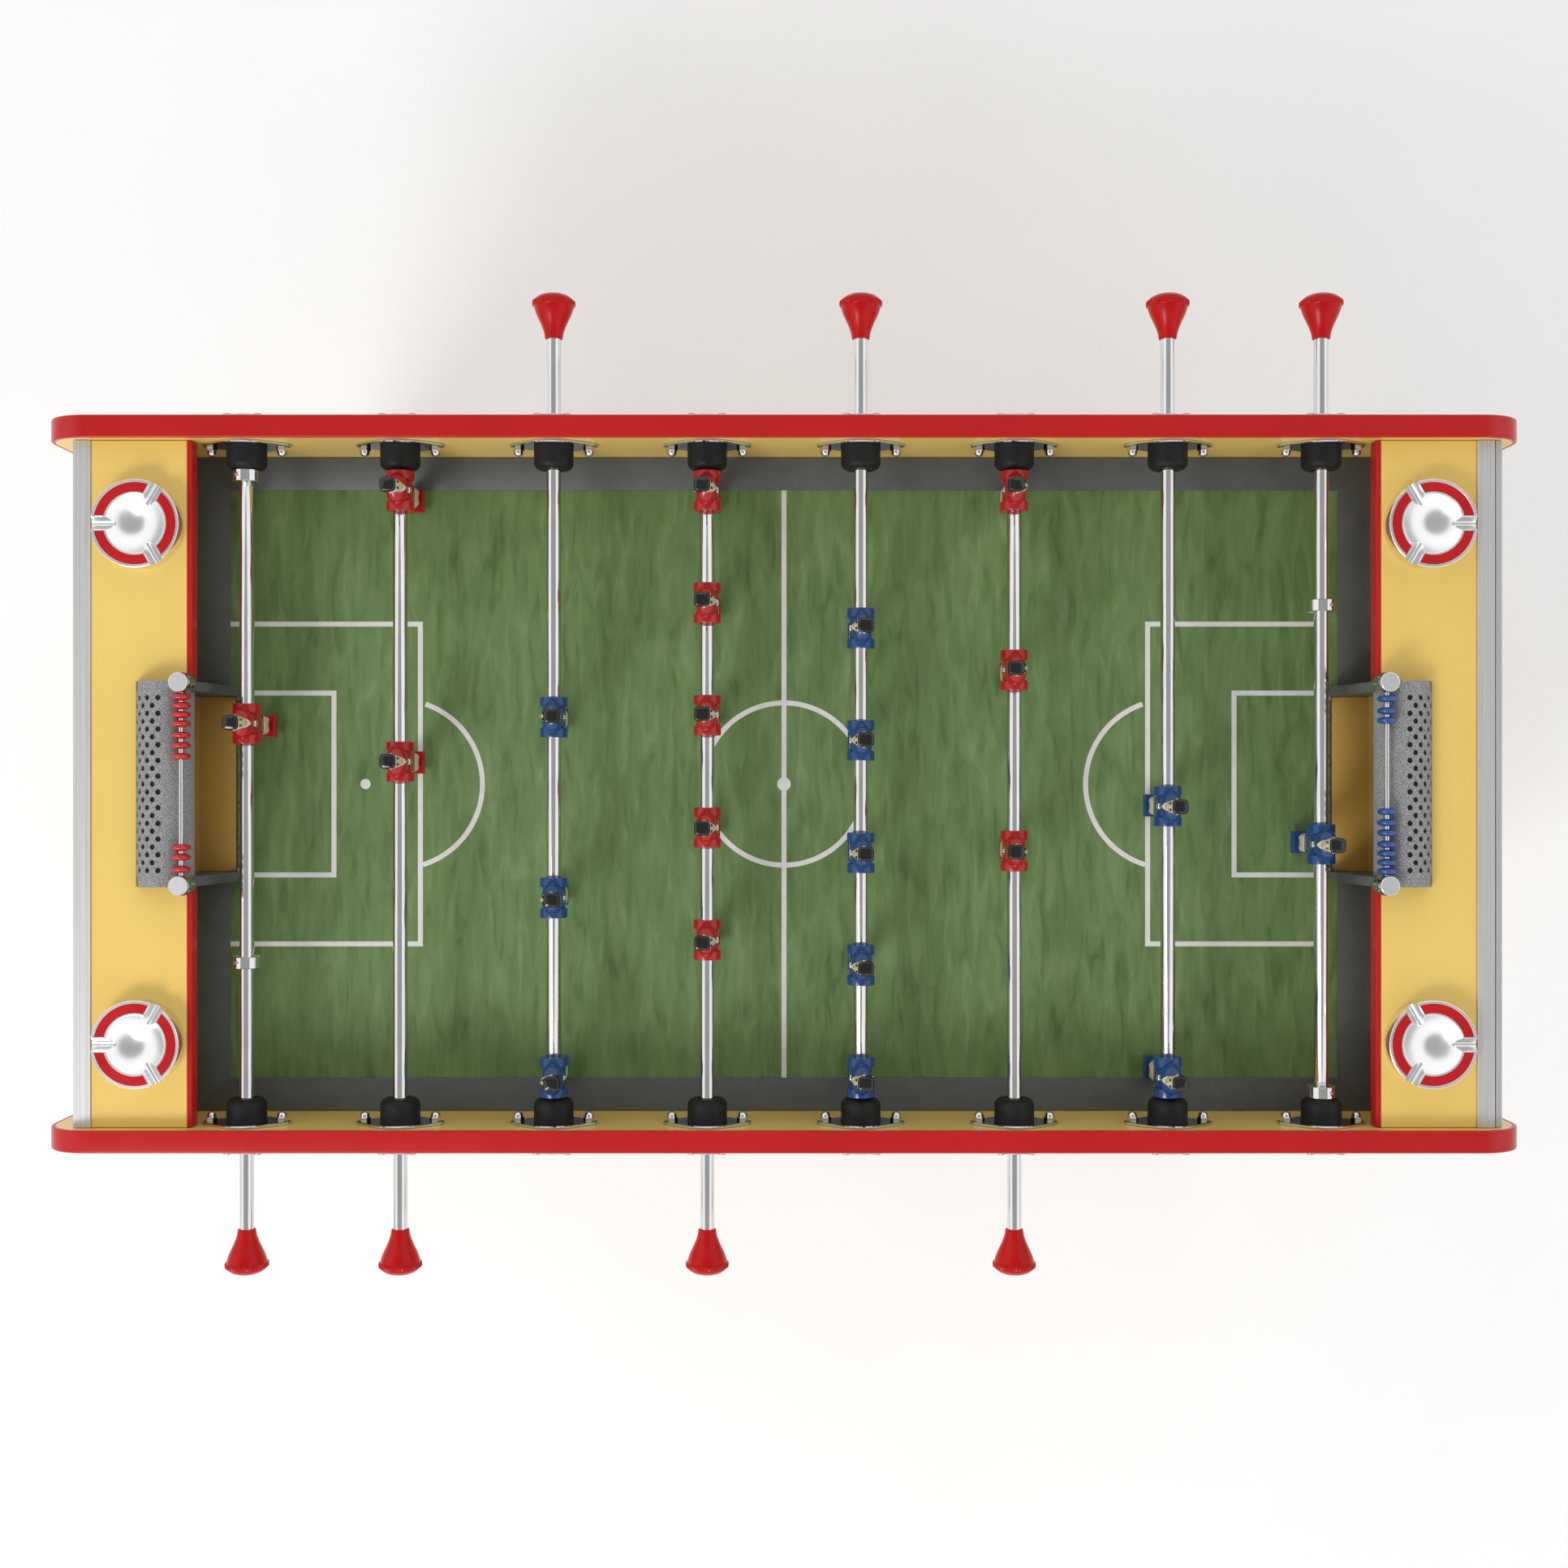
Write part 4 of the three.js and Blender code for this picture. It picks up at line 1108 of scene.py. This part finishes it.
def wire_mesh():
    return Shape().add(turned(rounded_profile([(0, -93), (2.25, -93), (2.25, 93), (0, 93)], 0.4, 2), 28))


def build_goals():
    dome = dome_mesh().mesh("dome", [GRANITE, PAINTED_SHADE_SHEET], 40)
    cheeks = cheeks_mesh().mesh("cheeks", [DARK_GRANITE])
    sill = sill_mesh().mesh("sill", [CAST, ALUMINIUM])
    post = post_mesh().mesh("post", [CHROME, ALUMINIUM])
    wire = wire_mesh().mesh("wire", [CHROME])
    beads = {"front": ("bead_blue", BLUE_BEAD), "back": ("bead_red", RED_BEAD)}
    for end, turn, _ in ENDS:
        cage, rail = [f"goal_cage_{end}"], [f"score_rail_{end}"]
        colour, material = beads[end]
        bead = bead_mesh().mesh(colour, [material])
        place(f"goal_dome_{end}", dome, "table", cage, turn)
        place(f"goal_cheeks_{end}", cheeks, "table", cage, turn)
        place(f"goal_sill_{end}", sill, "table", cage, turn)
        for side, s in HANDS:
            at = turn @ move(SCORE_X, s * POST_Y, 0)
            place(f"score_post_{end}_{side}", post, "table", rail, at)
        at = turn @ move(SCORE_X, 0, SCORE_Z)
        place(f"score_wire_{end}", wire, "table", rail, at)
        for k, y in enumerate(PARKED):
            place(f"parked_bead_{end}_{k + 1}", bead, "table", rail, at @ move(0, -y, 0))
        place(f"next_bead_{end}", bead, f"bead_{end}", [f"score_bead_{end}"], at @ move(0, -NEXT, 0))


# ---- legs, made for the +X end
def leg_mesh():
    """A square leg that tapers to the floor, with its levelling foot. Slots: wood, steel, rubber."""
    shape = Shape()
    verts = []
    for half, z in ((24, 22), (38, BOX_BOTTOM - 0.5)):
        verts.extend((x * half, y * half, z) for x, y in ((-1, -1), (1, -1), (1, 1), (-1, 1)))
    faces = [(0, 1, 2, 3), (4, 5, 6, 7)] + [(i, (i + 1) % 4, 4 + (i + 1) % 4, 4 + i) for i in range(4)]
    shape.add(soften((verts, faces), 3.5, 3), 0)
    up = spin(90, "X")
    stem = rounded_profile([(0, 7.5), (23.5, 7.5), (23, 10), (12, 13), (9, 15), (9, 24), (0, 24)], 1.2, 3)
    pad = rounded_profile([(0, 0), (26, 0), (26, 5), (24, 8), (0, 8)], 1.2, 3)
    bolt = rounded_profile([(0, 0), (7, 0), (6.4, 2.4), (3, 3.2), (3, 1.4), (0, 1.4)], 0.5, 2)
    shape.add(turned(stem, 40), 1, up)
    shape.add(turned(pad, 40), 2, up)
    for z in (596, 622):
        shape.add(turned(bolt, 28), 1, move(36.6 - (622 - z) * 0.02, 0, z) @ spin(-90, "Z"))
    return shape


def build_legs():
    leg = leg_mesh().mesh("leg", [LEG_WOOD, STEEL, RUBBER])
    beam = box(LEG[0] - 16, LEG[0] + 16, -247, 247, BOX_BOTTOM - 70.3, BOX_BOTTOM - 0.3)
    cross = Shape().add(soften(beam, 2.2, 3)).mesh("cross", [LEG_WOOD])
    for end, turn, _ in ENDS:
        node = [f"leg_frame_{end}"]
        for side, s in HANDS:
            at = turn @ move(LEG[0], s * LEG[1], 0)
            place(f"leg_{end}_{side}", leg, "table", node, at)
        place(f"leg_cross_{end}", cross, "table", node, turn)


# ---- everything
build_rods()
build_sides()
build_field()
build_cabinets()
build_goals()
build_legs()

floor_mesh = Shape().add(box(-4000, 4000, -4000, 4000, -20, -0.5)).mesh("studio_floor", [FLOOR])
floor = bpy.data.objects.new("studio_floor", floor_mesh)
scene.collection.objects.link(floor)
